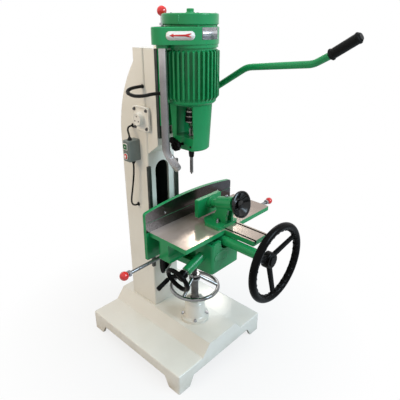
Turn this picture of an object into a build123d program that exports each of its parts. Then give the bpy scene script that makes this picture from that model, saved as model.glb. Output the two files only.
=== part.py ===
from build123d import *
from math import atan, cos, pi, radians, sin, sqrt, tan
import os

os.makedirs("parts", exist_ok=True)

# All sizes are millimetres. X runs to the operator's right, -Y towards the operator, Z up.

# Height of the feed shaft, from which the head and the column's upper end are measured
shaft_height = 1120.0

# Fits and gaps
running_fit = 0.05
slide_gap = 0.3
press_gap = 0.02
tooth_play = 0.3
hole_play = 1.0

# Base casting
base_width = 580.0
base_depth = 640.0
deck_height = 102.0
base_wall = 14.0
deck_thickness = 16.0
ridge_height = 157.0
ridge_top_width = 184.0
ridge_foot_width = 276.0
foot_length = 66.0
arch_height = 50.0
arch_lean = 26.0
base_corner = 8.0
deck_edge = 6.0

# Column casting
column_width = 160.0
column_front = 66.0
column_back = 250.0
column_wall = 12.0
column_above_shaft = 281.0
column_edge = 8.0
bend_below_shaft = 100.0
bend_radius = 514.0
neck_back = 125.0
slot_width = 80.0
slot_bottom = 328.0
slot_below_shaft = 197.0
nose_width = 148.0
nose_front = 2.0
nose_below_shaft = 104.0
nose_slope = 56.0

# Machined ways of the knee and of the head
knee_way_width = 17.0
knee_way_depth = 13.0
knee_way_overhang = 11.0
knee_way_bottom = 400.0
knee_way_below_slot = 11.0
head_way_depth = 15.0
head_way_front_half = 50.0
head_way_lean = 8.0
head_way_above_nose = 34.0

# Feed: sector gear, rack, shaft and lever
feed_module = 4.0
sector_teeth = 46
sector_face = 20.0
sector_teeth_below = 2
sector_teeth_above = 7
sector_hub_radius = 30.0
rack_behind_nose = 5.5
feed_rack_width = 24.0
feed_rack_length = 98.0
feed_rack_below = 15.0
feed_rack_back = 14.0
head_travel = 70.0
feed_shaft_radius = 15.0
feed_shaft_left = 104.0
lever_plane = 140.0
lever_hub_radius = 28.0
lever_hub_length = 50.0
lever_radius = 12.5
lever_bend = (-373.5, 217.0)
lever_rise = (-647.0, 245.0)
grip_start = (-702.5, 275.0)
grip_end = (-798.5, 336.0)
lever_bend_radius = 110.0
lever_rise_radius = 90.0
grip_radius = 16.5

# Bearings of the feed shaft
bearing_plate_size = 104.0
bearing_plate_thickness = 10.0
spring_cap_radius = 32.0
spring_cap_height = 23.0
spring_cap_wall = 5.0
flange_radius = 46.0
flange_boss_radius = 27.0
flange_boss_height = 30.0

# Head
spindle_y = -123.0
slide_half = 70.0
slide_front = -35.0
slide_below_shaft = 16.0
slide_below_column = 2.0
motor_radius = 110.0
motor_root_radius = 98.0
motor_bore = 80.0
motor_floor = 12.0
motor_above_shaft = 87.0
motor_height = 203.0
fin_count = 36
fin_thickness = 7.0
fin_chamfer = 14.0
pad_half = 62.0
neck_radius = 104.0
neck_height = 11.0
scroll_radius = 107.0
scroll_height = 58.0
scroll_wall = 9.0
lobe_radius = 39.0
head_flat_back = -27.0
cover_radius = 105.0
cover_gap = 6.0
cover_height = 38.0
cover_wall = 5.0
cover_edge = 5.0
cover_skirt = 3.0
cover_skirt_depth = 5.0
cover_vents = 8
cover_vent_radius = 9.0
cover_vent_circle = 62.0
cover_post_radius = 6.0
cover_post_count = 6
knob_radius = 13.5
knob_height = 16.0

# Blower pipe
pipe_x = -127.0
pipe_y = -108.0
pipe_radius = 15.0
pipe_wall = 2.0
pipe_corner_above = 3.0
pipe_end_x = -78.0
pipe_end_y = -121.0
pipe_end_below = 78.0
pipe_bend_radius = 70.0
pipe_collar_radius = 23.0
pipe_collar_height = 12.0
pipe_socket = 30.0

# Chuck housing, chisel and spindle
housing_height = 185.0
housing_top_radius = 84.0
housing_bottom_radius = 73.0
housing_top_half = 55.0
housing_bottom_half = 48.0
housing_bore = 60.0
housing_roof = 11.0
housing_floor = 52.0
window_front = 59.0
window_rear = 8.0
bush_radius = 20.0
chisel_shank_radius = 9.0
chisel_shank_out = 30.0
chisel_taper = 14.0
chisel_size = 10.0
chisel_length = 83.0
chisel_bore = 3.8
auger_radius = 3.4
auger_out = 5.0
auger_grip = 22.0
spindle_radius = 10.0
spindle_in_scroll = 52.0
bearing_radius = 24.0
bearing_height = 12.0
rotor_radius = 46.0
rotor_above_floor = 31.0
rotor_height = 96.0
stator_gap = 1.5
chuck_radius = 25.0
chuck_above_floor = 36.0
chuck_height = 85.0
fan_radius = 86.0
fan_blades = 12
fan_height = 30.0

# Clamp knobs on the housing
knob_lobes = 6
clamp_knob_radius = 27.5
clamp_knob_height = 22.0
clamp_knob_above = 24.0
clamp_stem_radius = 6.0
clamp_stem_out = 27.0
rear_knob_y = -78.0
rear_knob_above = 32.0
rear_knob_radius = 15.0
rear_knob_height = 15.0
rear_stem_out = 8.0

# Depth stop
stop_rod_x = -33.0
stop_rod_y = -6.0
stop_rod_radius = 5.5
stop_ball_above_column = 131.0
ball_radius = 18.5
stop_nut_room = 1.0
nut_across = 20.0
nut_height = 9.0
fork_height = 10.0
fork_reach = 24.0

# Switch box and its buttons
box_depth = 60.0
box_front = 115.0
box_back = 160.0
box_height = 95.0
box_below_shaft = 94.0
box_edge = 5.0
button_y = 137.0
button_inset = 26.0
button_radius = 11.0
button_out = 7.0
button_in = 7.0
button_travel = 4.0
bezel_radius = 15.5
bezel_height = 3.0

# Cables and hose
cable_radius = 4.0
hose_radius = 7.0
gland_radius = 9.0
gland_height = 9.0
entry_height = 5.0
gland_x = -120.0
gland_y = 133.0
upper_entry_y = 155.0
upper_entry_below_shaft = 40.0
lower_gland_x = -110.0
lower_gland_y = 130.0
lower_entry_y = 152.0
lower_entry_below_box = 227.0
hose_entry_y = 75.0
hose_entry_above_shaft = 134.0
hose_gland_radius = 11.0
hose_gland_height = 8.0
motor_gland_angle = 152.0
motor_gland_above_floor = 37.0
motor_gland_length = 22.0

# Elevating screw, pedestal and ring wheel
screw_y = -137.0
pedestal_flange_radius = 68.0
pedestal_flange_height = 14.0
pedestal_radius = 50.0
pedestal_top_radius = 42.0
pedestal_height = 108.0
sleeve_radius = 17.5
sleeve_height = 113.0
screw_radius = 12.0
screw_length = 296.0
screw_room = 1.5
ring_radius = 111.0
ring_tube = 9.0
ring_drop = 40.0
ring_hub_radius = 27.0
ring_hub_height = 30.0
ring_spokes = 3
ring_spoke_turn = -45.0
ring_spoke_radius = 8.0

# Table, rail and rack
table_top = 700.0
table_thickness = 20.0
table_left = -224.0
table_right = 328.0
table_front = -308.0
table_back = -95.0
extension_x = 53.0
extension_width = 94.0
extension_front = -457.0
extension_thickness = 22.0
tee_slot_offset = 35.0
tee_slot_width = 9.0
tee_slot_depth = 14.0
tee_foot_width = 15.0
tee_foot_depth = 6.0
tee_slot_back = -196.0
rail_y = -184.0
rail_height = 80.0
rail_foot_half = 32.0
rail_neck_half = 24.0
rail_foot_height = 12.0
rail_slope_height = 14.0
rack_module = 2.0
rack_depth = 11.0
steer_teeth = 16
pinion_front = -262.0
pinion_back = -238.0
table_rack_left = -120.0
table_rack_right = 170.0
lug_thickness = 12.0
lug_inset = 24.0
lug_bottom = 575.0
stop_hole_radius = 10.0

# Fence
fence_thickness = 20.0
fence_left = -240.0
fence_right = 300.0
fence_bottom = 572.0
fence_end_top = 786.0
fence_crown = 808.0
fence_corner = 12.0
fence_groove_z = 742.0
fence_groove_height = 4.0
fence_groove_depth = 2.0

# Vise
vise_y = -275.0
vise_z = 795.0
vise_tilt = 14.0
vise_base_width = 124.0
vise_base_front = -300.0
vise_base_side = -222.0
vise_base_back = -185.0
vise_base_shift = -13.0
vise_base_nose = 60.0
vise_base_thickness = 14.0
vise_boss_radius = 30.0
vise_boss_front = 38.0
vise_boss_rear = 45.0
vise_gusset = 12.0
vise_gusset_spread = 40.0
vise_gusset_back = -214.0
vise_gusset_top = -256.0
ram_radius = 17.5
ram_inside = 24.0
ram_bore = 10.5
jaw_left = -22.0
jaw_right = 128.0
jaw_bottom = 719.0
jaw_top = 801.0
jaw_face = -162.0
jaw_thickness = 18.0
vise_screw_radius = 9.0
vise_screw_front = 30.0
vise_screw_rear = 74.0
vise_wheel_radius = 56.0
vise_wheel_dish = 28.0
vise_hub_radius = 22.0
vise_hub_back = 47.0
vise_wheel_wall = 9.0

# Saddle
saddle_half = 66.0
saddle_front = -284.0
saddle_back = -118.0
saddle_thickness = 50.0
guide_half = 76.0
guide_front = -234.0
guide_back = -120.0
guide_height = 40.0
dove_height = 16.0
dove_top_half = 46.0
dove_foot_half = 38.0
pedestal_half = 25.0
pedestal_back = -264.0
sleeve_outer = 21.0
sleeve_front = -518.0
steer_radius = 10.0
steer_end = -216.0
boss_half = 20.0
stop_bar_y = -138.0
stop_bar_z = 590.0
stop_bar_radius = 7.0
stop_bar_left = -395.0
stop_bar_right = 590.0

# Steering wheel
wheel_rim_y = -568.0
wheel_rim_radius = 148.0
wheel_tube = 15.0
wheel_hub_front = -550.0
wheel_hub_back = -522.0
wheel_hub_radius = 33.0
wheel_spokes = 3
wheel_spoke_width = 34.0
wheel_spoke_thickness = 11.0

# Knee casting
knee_front = -322.0
knee_front_half = 86.0
knee_side_half = 110.0
knee_flare_end = -100.0
knee_wall = 12.0
knee_front_wall = 14.0
knee_depth = 23.0
deck_plate = 14.0
knee_front_top = 668.0
knee_shoulder = 660.0
knee_shoulder_back = -236.0
knee_wall_top = 555.0
notch_radius = 33.0
hatch_left = -66.0
hatch_right = -38.0
hatch_bottom = 618.0
hatch_top = 646.0
slider_front = 20.0
slider_top = 690.0
slider_bottom = 520.0
slider_edge = 10.0
cheek_half = 110.0
keeper_inner = 81.5
keeper_thickness = 12.0
keeper_bottom = 532.0
keeper_top = 678.0
screw_boss_radius = 32.0
screw_boss_drop = 12.0
gusset_foot = -38.0

# Cross feed
cross_y = -262.0
cross_tilt = 20.0
cross_wheel_x = -226.0
cross_wheel_z = 545.0
cross_teeth = 14
cross_pinion_x = -45.0
cross_pinion_face = 16.0
cross_shaft_radius = 9.0
cross_sleeve_radius = 20.0
cross_sleeve_length = 92.0
cross_sleeve_start = 112.0
cross_rack_half = 9.0
cross_rack_back = 10.0
cross_rack_front = -297.0
cross_rack_rear = -240.0
cross_wheel_radius = 53.0
cross_wheel_tube = 8.0
cross_hub_radius = 20.0
cross_hub_length = 34.0
cross_hub_set = 8.0
hub_cap = 4.0
cross_spokes = 3
cross_spoke_width = 20.0
cross_spoke_thickness = 9.0
crank_pin_radius = 5.0
crank_angle = 345.0
crank_handle_radius = 9.5
crank_handle_length = 62.0

# Knee clamp lever
knee_clamp_y = -60.0
knee_clamp_z = 538.0
knee_clamp_hub = 13.0
knee_clamp_out = 24.0
knee_clamp_arm = 98.0
knee_clamp_thick = 12.0

# Places that follow from the sizes above
column_top = shaft_height + column_above_shaft
bend_start = shaft_height - bend_below_shaft
slot_top = shaft_height - slot_below_shaft
knee_way_top = slot_top - knee_way_below_slot
nose_bottom = shaft_height - nose_below_shaft
nose_root = nose_bottom - nose_slope
head_way_bottom = nose_bottom + head_way_above_nose
slide_bottom = shaft_height - slide_below_shaft
slide_top = column_top - slide_below_column
motor_bottom = shaft_height + motor_above_shaft
housing_bottom = motor_bottom - housing_height
window_bottom = housing_bottom + housing_floor
chisel_shoulder = housing_bottom - chisel_shank_out
chisel_tip = chisel_shoulder - chisel_length
chuck_bottom = window_bottom + chuck_above_floor
rotor_bottom = motor_bottom + motor_floor + rotor_above_floor
clamp_knob_z = housing_bottom + clamp_knob_above
rear_knob_z = housing_bottom + rear_knob_above
pipe_corner_z = housing_bottom + pipe_corner_above
pipe_end = (pipe_end_x, pipe_end_y, housing_bottom - pipe_end_below)
stop_ball_z = column_top + stop_ball_above_column
stop_nut_z = column_top + fork_height + head_travel + stop_nut_room
box_top = shaft_height - box_below_shaft
box_bottom = box_top - box_height
start_z = box_top - button_inset
stop_z = box_bottom + button_inset
upper_entry = (upper_entry_y, shaft_height - upper_entry_below_shaft)
lower_entry = (lower_entry_y, box_bottom - lower_entry_below_box)
hose_entry = (hose_entry_y, shaft_height + hose_entry_above_shaft)
motor_gland_z = motor_bottom + motor_gland_above_floor
sector_radius = feed_module * sector_teeth / 2
sector_tip = sector_radius + feed_module
rack_pitch_y = nose_front - rack_behind_nose
shaft_y = rack_pitch_y + sector_radius
motor_top = motor_bottom + motor_height
scroll_bottom = motor_top + neck_height
scroll_top = scroll_bottom + scroll_height
spindle_top = scroll_bottom + spindle_in_scroll
cover_bottom = scroll_top + cover_gap
cover_top = cover_bottom + cover_height
table_under = table_top - table_thickness
rail_bottom = table_under - rail_height
saddle_top = rail_bottom - slide_gap
saddle_bottom = saddle_top - saddle_thickness
deck_top = saddle_bottom - slide_gap
knee_bottom = deck_top - knee_depth
steer_pitch = rack_module * steer_teeth / 2
rack_pitch_z = table_under - rack_depth + 0.8 * rack_module
steer_z = rack_pitch_z - steer_pitch
cross_pitch = rack_module * cross_teeth / 2
cross_along = Vector(cos(radians(cross_tilt)), 0, sin(radians(cross_tilt)))
cross_up = Vector(-sin(radians(cross_tilt)), 0, cos(radians(cross_tilt)))
cross_wheel_at = Vector(cross_wheel_x, cross_y, cross_wheel_z)
cross_reach = (cross_pinion_x - cross_wheel_x) / cos(radians(cross_tilt))
cross_pinion_at = cross_wheel_at + cross_along * cross_reach
vise_at = Vector(extension_x, vise_y, vise_z)
vise_along = Vector(0, cos(radians(vise_tilt)), -sin(radians(vise_tilt)))
pedestal_top = ridge_height + pedestal_height
sleeve_top = pedestal_top + sleeve_height
half_column = column_width / 2
slide_back = nose_front - head_way_depth - slide_gap
way_back_half = head_way_front_half + head_way_lean


def block(x, y, z):
    """Rectangular solid between three (low, high) pairs."""
    middle = [(low + high) / 2 for low, high in (x, y, z)]
    return Pos(*middle) * Box(x[1] - x[0], y[1] - y[0], z[1] - z[0])


def bar(start, end, radius):
    """Round bar between two points."""
    along = Vector(*end) - Vector(*start)
    return Plane(origin=start, z_dir=along) * Cylinder(
        radius, along.length, align=(Align.CENTER, Align.CENTER, Align.MIN))


def outline_face(points):
    return make_face(Polyline(*points, close=True))


def flat_plate(points, low, high):
    """Plan outline of (x, y) points raised from one height to another."""
    return Pos(0, 0, low) * extrude(outline_face(points), high - low)


def side_plate(points, low, high):
    """Outline of (y, z) points between two X positions."""
    return extrude(Plane.YZ.offset(low) * outline_face(points), high - low)


def front_plate(points, low, high):
    """Outline of (x, z) points between two Y positions."""
    return extrude(Plane.XZ.offset(-high) * outline_face(points), high - low)


def turned(profile, centre=(0, 0, 0), axis=(0, 0, 1)):
    """Profile of (radius, height) points turned about an axis."""
    face = Plane.XZ * outline_face(profile)
    return Plane(origin=centre, z_dir=axis) * revolve(face, Axis.Z, 360)


def ring(centre, axis, radius, tube):
    """Rim of a hand wheel with a nearly round section."""
    section = Pos(radius, 0) * RectangleRounded(2 * tube, 2 * tube, 0.98 * tube)
    return Plane(origin=centre, z_dir=axis) * revolve(Plane.XZ * section, Axis.Z, 360)


def hexagon(across, height):
    return extrude(RegularPolygon(across / 2, 6, major_radius=False), height)


def fuse(first, others):
    for other in others:
        first = first + other
    return first


def edges_along(shape, axis, check):
    """Straight or curved edges near an axis direction that pass a test of their centre."""
    return [edge for edge in shape.edges().filter_by(axis) if check(edge.center())]


def tooth_half_angle(radius, module, teeth):
    """Half of the angle a gear tooth spans at a radius, on a 20 degree involute."""
    pitch = module * teeth / 2
    base = pitch * cos(radians(20))
    roll = sqrt(max((radius / base) ** 2 - 1, 0))
    pitch_roll = tan(radians(20))
    opening = (roll - atan(roll)) - (pitch_roll - radians(20))
    return pi / (2 * teeth) - tooth_play / (4 * pitch) - opening


def gear_teeth(module, teeth, first, last):
    """Outline points of the teeth numbered first to last; tooth 0 points along +X."""
    pitch = module * teeth / 2
    base = pitch * cos(radians(20))
    root = pitch - 1.25 * module
    radii = [root, max(base, root + 0.1), pitch, pitch + 0.5 * module, pitch + module]
    points = []
    for number in range(first, last + 1):
        middle = 2 * pi * number / teeth
        flank = [(radius, tooth_half_angle(radius, module, teeth)) for radius in radii]
        for radius, half in flank:
            points.append((radius * cos(middle - half), radius * sin(middle - half)))
        for radius, half in reversed(flank):
            points.append((radius * cos(middle + half), radius * sin(middle + half)))
    return points


def rack_teeth(module, low, high, back):
    """Rack outline: teeth point to -Y of the sketch, pitch line on Y 0, a space on X 0."""
    pitch = pi * module
    tip = 0.8 * module
    root = 1.25 * module
    lean = tan(radians(20))
    half = pitch / 4 - tooth_play / 4
    points = [(low, root)]
    number = int(low // pitch)
    while number * pitch + pitch < high:
        middle = (number + 0.5) * pitch
        left = middle - half - root * lean
        if left > low and middle + half + root * lean < high:
            points.append((left, root))
            points.append((middle - half + tip * lean, -tip))
            points.append((middle + half - tip * lean, -tip))
            points.append((middle + half + root * lean, root))
        number += 1
    points.append((high, root))
    points.append((high, root + back))
    points.append((low, root + back))
    return outline_face(points)


def tube_along(points, radius):
    """Flexible tube that bends as widely as its runs allow at every corner."""
    corners = [Vector(*point) for point in points]
    radii = []
    for before, here, after in zip(corners, corners[1:], corners[2:]):
        first = here - before
        second = after - here
        turn = radians(first.get_angle(second))
        radii.append(0.45 * min(first.length, second.length) / tan(turn / 2))
    path = FilletPolyline(*corners, radius=radii)
    start = Plane(origin=corners[0], z_dir=corners[1] - corners[0])
    solid = sweep(start * Circle(radius), path)
    print("tube", round(path.length), "long, smallest bend", round(min(radii), 1),
          "volume ratio", round(solid.volume / (pi * radius ** 2 * path.length), 3))
    return solid


def make_base():
    half_x = base_width / 2
    half_y = base_depth / 2
    foot = ridge_foot_width / 2
    top = ridge_top_width / 2
    side = [(half_x, 0), (half_x, deck_height), (foot, deck_height), (top, ridge_height)]
    body = front_plate(side + [(-x, z) for x, z in reversed(side)], -half_y, half_y)
    body = fillet(edges_along(body, Axis.Z, lambda at: True), base_corner)
    rims = edges_along(body, Axis.Y, lambda at: abs(at.X) > half_x - 1 and at.Z > deck_height - 1)
    body = fillet(rims, deck_edge)
    inner_x = half_x - base_wall
    inner_y = half_y - base_wall
    under = deck_height - deck_thickness
    side = [(inner_x, -1), (inner_x, under), (foot - base_wall, under),
            (top - base_wall, ridge_height - deck_thickness)]
    body -= front_plate(side + [(-x, z) for x, z in reversed(side)], -inner_y, inner_y)
    arch_x = half_x - foot_length
    arch_y = half_y - foot_length
    arch = [(arch_x, -1), (arch_x - arch_lean, arch_height)]
    body -= front_plate(arch + [(-x, z) for x, z in reversed(arch)], -half_y - 1, half_y + 1)
    arch = [(arch_y, -1), (arch_y - arch_lean, arch_height)]
    body -= side_plate(arch + [(-y, z) for y, z in reversed(arch)], -half_x - 1, half_x + 1)
    body -= bar((0, screw_y, 0), (0, screw_y, ridge_height + 1), screw_radius + 8 * hole_play)
    return body


def column_shape(inset):
    """Side profile of the column, moved inwards by a wall thickness."""
    front = column_front + inset
    back = column_back - inset
    neck = neck_back - inset
    radius = bend_radius - inset
    middle = back - radius
    neck_z = bend_start + sqrt(radius ** 2 - (neck - middle) ** 2)
    half_turn = atan((neck_z - bend_start) / (neck - middle)) / 2
    waist = (middle + radius * cos(half_turn), bend_start + radius * sin(half_turn))
    top = column_top - inset
    lower = Polyline((front, ridge_height), (back, ridge_height), (back, bend_start))
    bend = ThreePointArc((back, bend_start), waist, (neck, neck_z))
    upper = Polyline((neck, neck_z), (neck, top), (front, top), (front, ridge_height))
    width = column_width - 2 * inset
    return extrude(Plane.YZ * make_face([lower, bend, upper]), width / 2, both=True)


def sector_reach(y):
    """Height above the shaft at which the sector's tips cross an upright plane."""
    return sqrt(sector_tip ** 2 - (shaft_y - y) ** 2)


def make_column():
    body = column_shape(0)
    long_edges = [edge for edge in body.edges()
                  if edge.length > 150 and abs(abs(edge.center().X) - half_column) < 0.1
                  and edge.center().Z > ridge_height + 10]
    body = fillet(long_edges, column_edge)
    half = nose_width / 2
    root = column_front + column_wall
    nose = [(nose_front, nose_bottom), (root, nose_root), (neck_back - 30, nose_root),
            (neck_back - 30, column_top), (nose_front, column_top)]
    body += side_plate(nose, -half, half)
    body -= column_shape(column_wall)
    inner = [(nose_front + column_wall, nose_bottom + column_wall), (root, nose_root + 2 * column_wall),
             (root + 6, column_top - column_wall), (nose_front + column_wall, column_top - column_wall)]
    body -= side_plate(inner, column_wall - half, half - column_wall)
    arch = slot_top - slot_width / 2
    foot = slot_bottom + slot_width / 2
    body -= block((-slot_width / 2, slot_width / 2), (column_front - 1, root + 1), (foot, arch))
    for height in (foot, arch):
        body -= bar((0, column_front - 1, height), (0, root + 1, height), slot_width / 2)
    gate = sector_face / 2 + 4 * hole_play
    reach = sector_reach(nose_front + column_wall) + 4 * hole_play
    body -= block((-gate, gate), (nose_front - 1, nose_front + column_wall + 1),
                  (shaft_height - reach, shaft_height + reach))
    shaft_hole = feed_shaft_radius + 6 * hole_play
    side = half_column + 1
    body -= bar((-side, shaft_y, shaft_height), (side, shaft_y, shaft_height), shaft_hole)
    hose_y, hose_z = hose_entry
    inside = column_wall + 1 - half_column
    body -= bar((-side, hose_y, hose_z), (inside, hose_y, hose_z), hose_radius)
    fork = block((stop_rod_x - 20, stop_rod_x + 20), (stop_rod_y - 12, nose_front + fork_reach),
                 (column_top, column_top + fork_height))
    gap = stop_rod_radius + hole_play
    fork -= block((stop_rod_x - gap, stop_rod_x + gap), (stop_rod_y - 13, stop_rod_y),
                  (column_top - 1, column_top + fork_height + 1))
    fork -= bar((stop_rod_x, stop_rod_y, column_top - 1), (stop_rod_x, stop_rod_y, column_top + 20), gap)
    return body + fork


def make_column_ways():
    outer = half_column + knee_way_overhang
    bars = [block((side - knee_way_width / 2, side + knee_way_width / 2),
                  (column_front - knee_way_depth, column_front), (knee_way_bottom, knee_way_top))
            for side in (knee_way_width / 2 - outer, outer - knee_way_width / 2)]
    return Compound(children=[chamfer(way.edges().filter_by(Axis.Z), 1) for way in bars])


def make_head_ways():
    front = nose_front - head_way_depth
    section = [(head_way_front_half, front), (nose_width / 2, front), (nose_width / 2, nose_front),
               (way_back_half, nose_front)]
    right = flat_plate(section, head_way_bottom, column_top)
    return Compound(children=[right, mirror(right, Plane.YZ)])


def make_bearing_plate():
    half = bearing_plate_size / 2
    inner = -half_column
    outer = inner - bearing_plate_thickness
    tall = (shaft_height - half, shaft_height + half)
    plate = block((outer, inner), (shaft_y - half, shaft_y + half), tall)
    plate = fillet(plate.edges().filter_by(Axis.X), 10)
    cap_end = outer - spring_cap_height
    cap = bar((outer, shaft_y, shaft_height), (cap_end, shaft_y, shaft_height), spring_cap_radius)
    rim = [edge for edge in cap.edges() if edge.center().X < cap_end + 1 and edge.length > 10]
    cap = fillet(rim, 4)
    cap -= bar((outer + 1, shaft_y, shaft_height), (cap_end + spring_cap_wall, shaft_y, shaft_height),
               spring_cap_radius - spring_cap_wall)
    bore = feed_shaft_radius + running_fit
    return plate + cap - bar((outer - 1, shaft_y, shaft_height), (inner + 1, shaft_y, shaft_height), bore)


def make_bearing_flange():
    bore = feed_shaft_radius + running_fit
    profile = [(bore, 0), (flange_radius, 0), (flange_radius, 8), (flange_boss_radius + 6, 10),
               (flange_boss_radius, 16), (flange_boss_radius, flange_boss_height), (bore, flange_boss_height)]
    return turned(profile, (half_column, shaft_y, shaft_height), (1, 0, 0))


def make_switch_box():
    outer = -half_column - box_depth
    box = block((outer, -half_column), (box_front, box_back), (box_bottom, box_top))
    rounded = [edge for edge in box.edges() if edge.center().X < -half_column - 1]
    box = fillet(rounded, box_edge)
    for height in (start_z, stop_z):
        box += bar((outer + 1, button_y, height), (outer - bezel_height, button_y, height), bezel_radius)
        depth = outer + button_in + button_travel + hole_play
        box -= bar((outer - bezel_height - 1, button_y, height), (depth, button_y, height),
                   button_radius + slide_gap)
    return box


def make_button(height):
    outer = -half_column - box_depth
    profile = [(0, 0), (button_radius, 0), (button_radius, button_in + button_out - 2),
               (button_radius - 2, button_in + button_out), (0, button_in + button_out)]
    return turned(profile, (outer + button_in, button_y, height), (-1, 0, 0))


def make_cable_glands():
    places = [((gland_x, gland_y, box_top), (0, 0, 1), gland_radius, gland_height),
              ((lower_gland_x, lower_gland_y, box_bottom), (0, 0, -1), gland_radius, gland_height),
              ((-half_column, *upper_entry), (-1, 0, 0), gland_radius, entry_height),
              ((-half_column, *lower_entry), (-1, 0, 0), gland_radius, entry_height),
              ((-half_column, *hose_entry), (-1, 0, 0), hose_gland_radius, hose_gland_height)]
    glands = []
    for place, axis, radius, height in places:
        profile = [(0, 0), (radius + 2, 0), (radius + 2, 0.4 * height), (radius, 0.5 * height),
                   (radius - 1.5, height), (0, height)]
        glands.append(turned(profile, place, axis))
    return Compound(children=glands)


def make_switch_cable_upper():
    entry_y, entry_z = upper_entry
    face = -half_column - entry_height
    start = box_top + gland_height
    return tube_along([(gland_x, gland_y, start), (gland_x, gland_y, start + 14),
                       (gland_x - 1, gland_y + 7, start + 27), (face - 29, entry_y - 6, entry_z - 6),
                       (face - 16, entry_y, entry_z), (face, entry_y, entry_z)], cable_radius)


def make_switch_cable_lower():
    entry_y, entry_z = lower_entry
    face = -half_column - entry_height
    start = box_bottom - gland_height
    x = lower_gland_x
    y = lower_gland_y
    return tube_along([(x, y, start), (x, y, start - 28), (x - 3, y + 4, start - 76),
                       (x - 7, y + 12, start - 130), (face - 35, entry_y - 3, entry_z + 48),
                       (face - 35.5, entry_y, entry_z + 20.5), (face - 28, entry_y, entry_z + 7.5),
                       (face - 15, entry_y, entry_z), (face, entry_y, entry_z)], cable_radius)


def motor_gland_frame():
    """Direction that the motor's cable gland looks in, and the place of its outer face."""
    turn = radians(motor_gland_angle)
    out = Vector(cos(turn), sin(turn), 0)
    face = Vector(0, spindle_y, motor_gland_z) + out * (motor_radius + motor_gland_length - fin_chamfer / 2)
    return out, face


def make_motor_hose():
    y, z = hose_entry
    x = -half_column - hose_gland_height
    out, face = motor_gland_frame()
    return tube_along([(x, y, z), (x - 26, y, z), (x - 54, y + 4, z - 4), (x - 79, y - 9, z - 11),
                       (x - 87, y - 37, z - 18), (x - 80, y - 69, z - 22), (x - 64, y - 101, z - 18),
                       face + out * 29, face], hose_radius)


def make_head_slide():
    plate = block((-slide_half, slide_half), (slide_front, slide_back), (slide_bottom, slide_top))
    plate = chamfer(edges_along(plate, Axis.Z, lambda at: at.Y < slide_front + 1), 4)
    front_half = head_way_front_half - slide_gap
    back_half = way_back_half - slide_gap
    tail = nose_front - slide_gap
    section = [(-front_half, slide_back), (front_half, slide_back), (back_half, tail), (-back_half, tail)]
    plate += flat_plate(section, slide_bottom, slide_top)
    rack_front = rack_pitch_y - 1.25 * feed_module - feed_rack_back
    bottom = shaft_height - feed_rack_below
    rack_top = bottom + feed_rack_length
    swept_top = shaft_height + head_travel + sector_reach(tail) + 4 * hole_play
    plate -= block((-feed_rack_width / 2 - press_gap, feed_rack_width / 2 + press_gap),
                   (rack_front - press_gap, tail + 1), (slide_bottom - 1, max(rack_top, swept_top)))
    hole = stop_rod_radius + press_gap
    foot = Vector(stop_rod_x, stop_rod_y, slide_top)
    return plate - bar(foot - Vector(0, 0, 40), foot + Vector(0, 0, 1), hole)


def make_head_rack():
    face = rack_teeth(feed_module, -feed_rack_below, feed_rack_length - feed_rack_below, feed_rack_back)
    lying = extrude(face, feed_rack_width / 2, both=True)
    upright = Plane(origin=(0, rack_pitch_y, shaft_height), x_dir=(0, 0, 1), z_dir=(1, 0, 0))
    return upright * lying


def make_sector_gear():
    teeth = gear_teeth(feed_module, sector_teeth, -sector_teeth_below, sector_teeth_above)
    step = 2 * pi / sector_teeth
    low = (-sector_teeth_below - 0.5) * step
    high = (sector_teeth_above + 0.5) * step
    root = sector_radius - 1.25 * feed_module
    hub = sector_hub_radius
    outline = [(root * cos(low), root * sin(low))] + teeth + [(root * cos(high), root * sin(high))]
    outline += [(hub * cos(high + 0.6), hub * sin(high + 0.6)), (hub * cos(low - 0.6), hub * sin(low - 0.6))]
    face = outline_face(outline) + Circle(hub)
    middle = (low + high) / 2
    face -= Pos(58 * cos(middle), 58 * sin(middle)) * Circle(13)
    face -= Circle(feed_shaft_radius + press_gap)
    gear = extrude(face, sector_face / 2, both=True)
    return Plane(origin=(0, shaft_y, shaft_height), x_dir=(0, -1, 0), z_dir=(-1, 0, 0)) * gear


def make_feed_shaft():
    right = lever_plane + lever_hub_length / 2 - 6
    shaft = bar((-feed_shaft_left, shaft_y, shaft_height), (right, shaft_y, shaft_height), feed_shaft_radius)
    ends = shaft.edges().filter_by(GeomType.CIRCLE)
    return chamfer(ends, 1.5)


def make_feed_lever():
    centre = Vector(lever_plane, shaft_y, shaft_height)
    corners = [centre + Vector(0, y, z) for y, z in ((0, 0), lever_bend, lever_rise, grip_start, grip_end)]
    corners[-1] = corners[-2] + (corners[-1] - corners[-2]) * 0.9
    path = FilletPolyline(*corners[:4], radius=[lever_bend_radius, lever_rise_radius])
    start = Plane(origin=corners[0], z_dir=corners[1] - corners[0])
    arm = sweep(start * Circle(lever_radius), path)
    arm += bar(corners[3], corners[4], lever_radius - 2)
    half = lever_hub_length / 2
    profile = [(0, -half), (lever_hub_radius - 2, -half), (lever_hub_radius, 2 - half),
               (lever_hub_radius, half - 5), (lever_hub_radius - 5, half), (0, half)]
    hub = turned(profile, centre, (1, 0, 0))
    ends = (centre - Vector(half + 1, 0, 0), centre + Vector(half - 6, 0, 0))
    bore = bar(*ends, feed_shaft_radius + press_gap)
    return arm + hub - bore


def make_lever_grip():
    centre = Vector(lever_plane, shaft_y, shaft_height)
    end = centre + Vector(0, *grip_end)
    along = (end - centre - Vector(0, *grip_start)).normalized()
    start = centre + Vector(0, *grip_start) + along * 2 * hole_play
    length = (end - start).length
    core = lever_radius - 2 + press_gap
    profile = [(core, 0), (grip_radius - 1, 0), (grip_radius + 3, 4), (grip_radius + 3, 8), (grip_radius, 12),
               (grip_radius, length - 6), (grip_radius - 5, length), (0, length), (0, 0.92 * length),
               (core, 0.92 * length)]
    return turned(profile, start, along)


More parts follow.
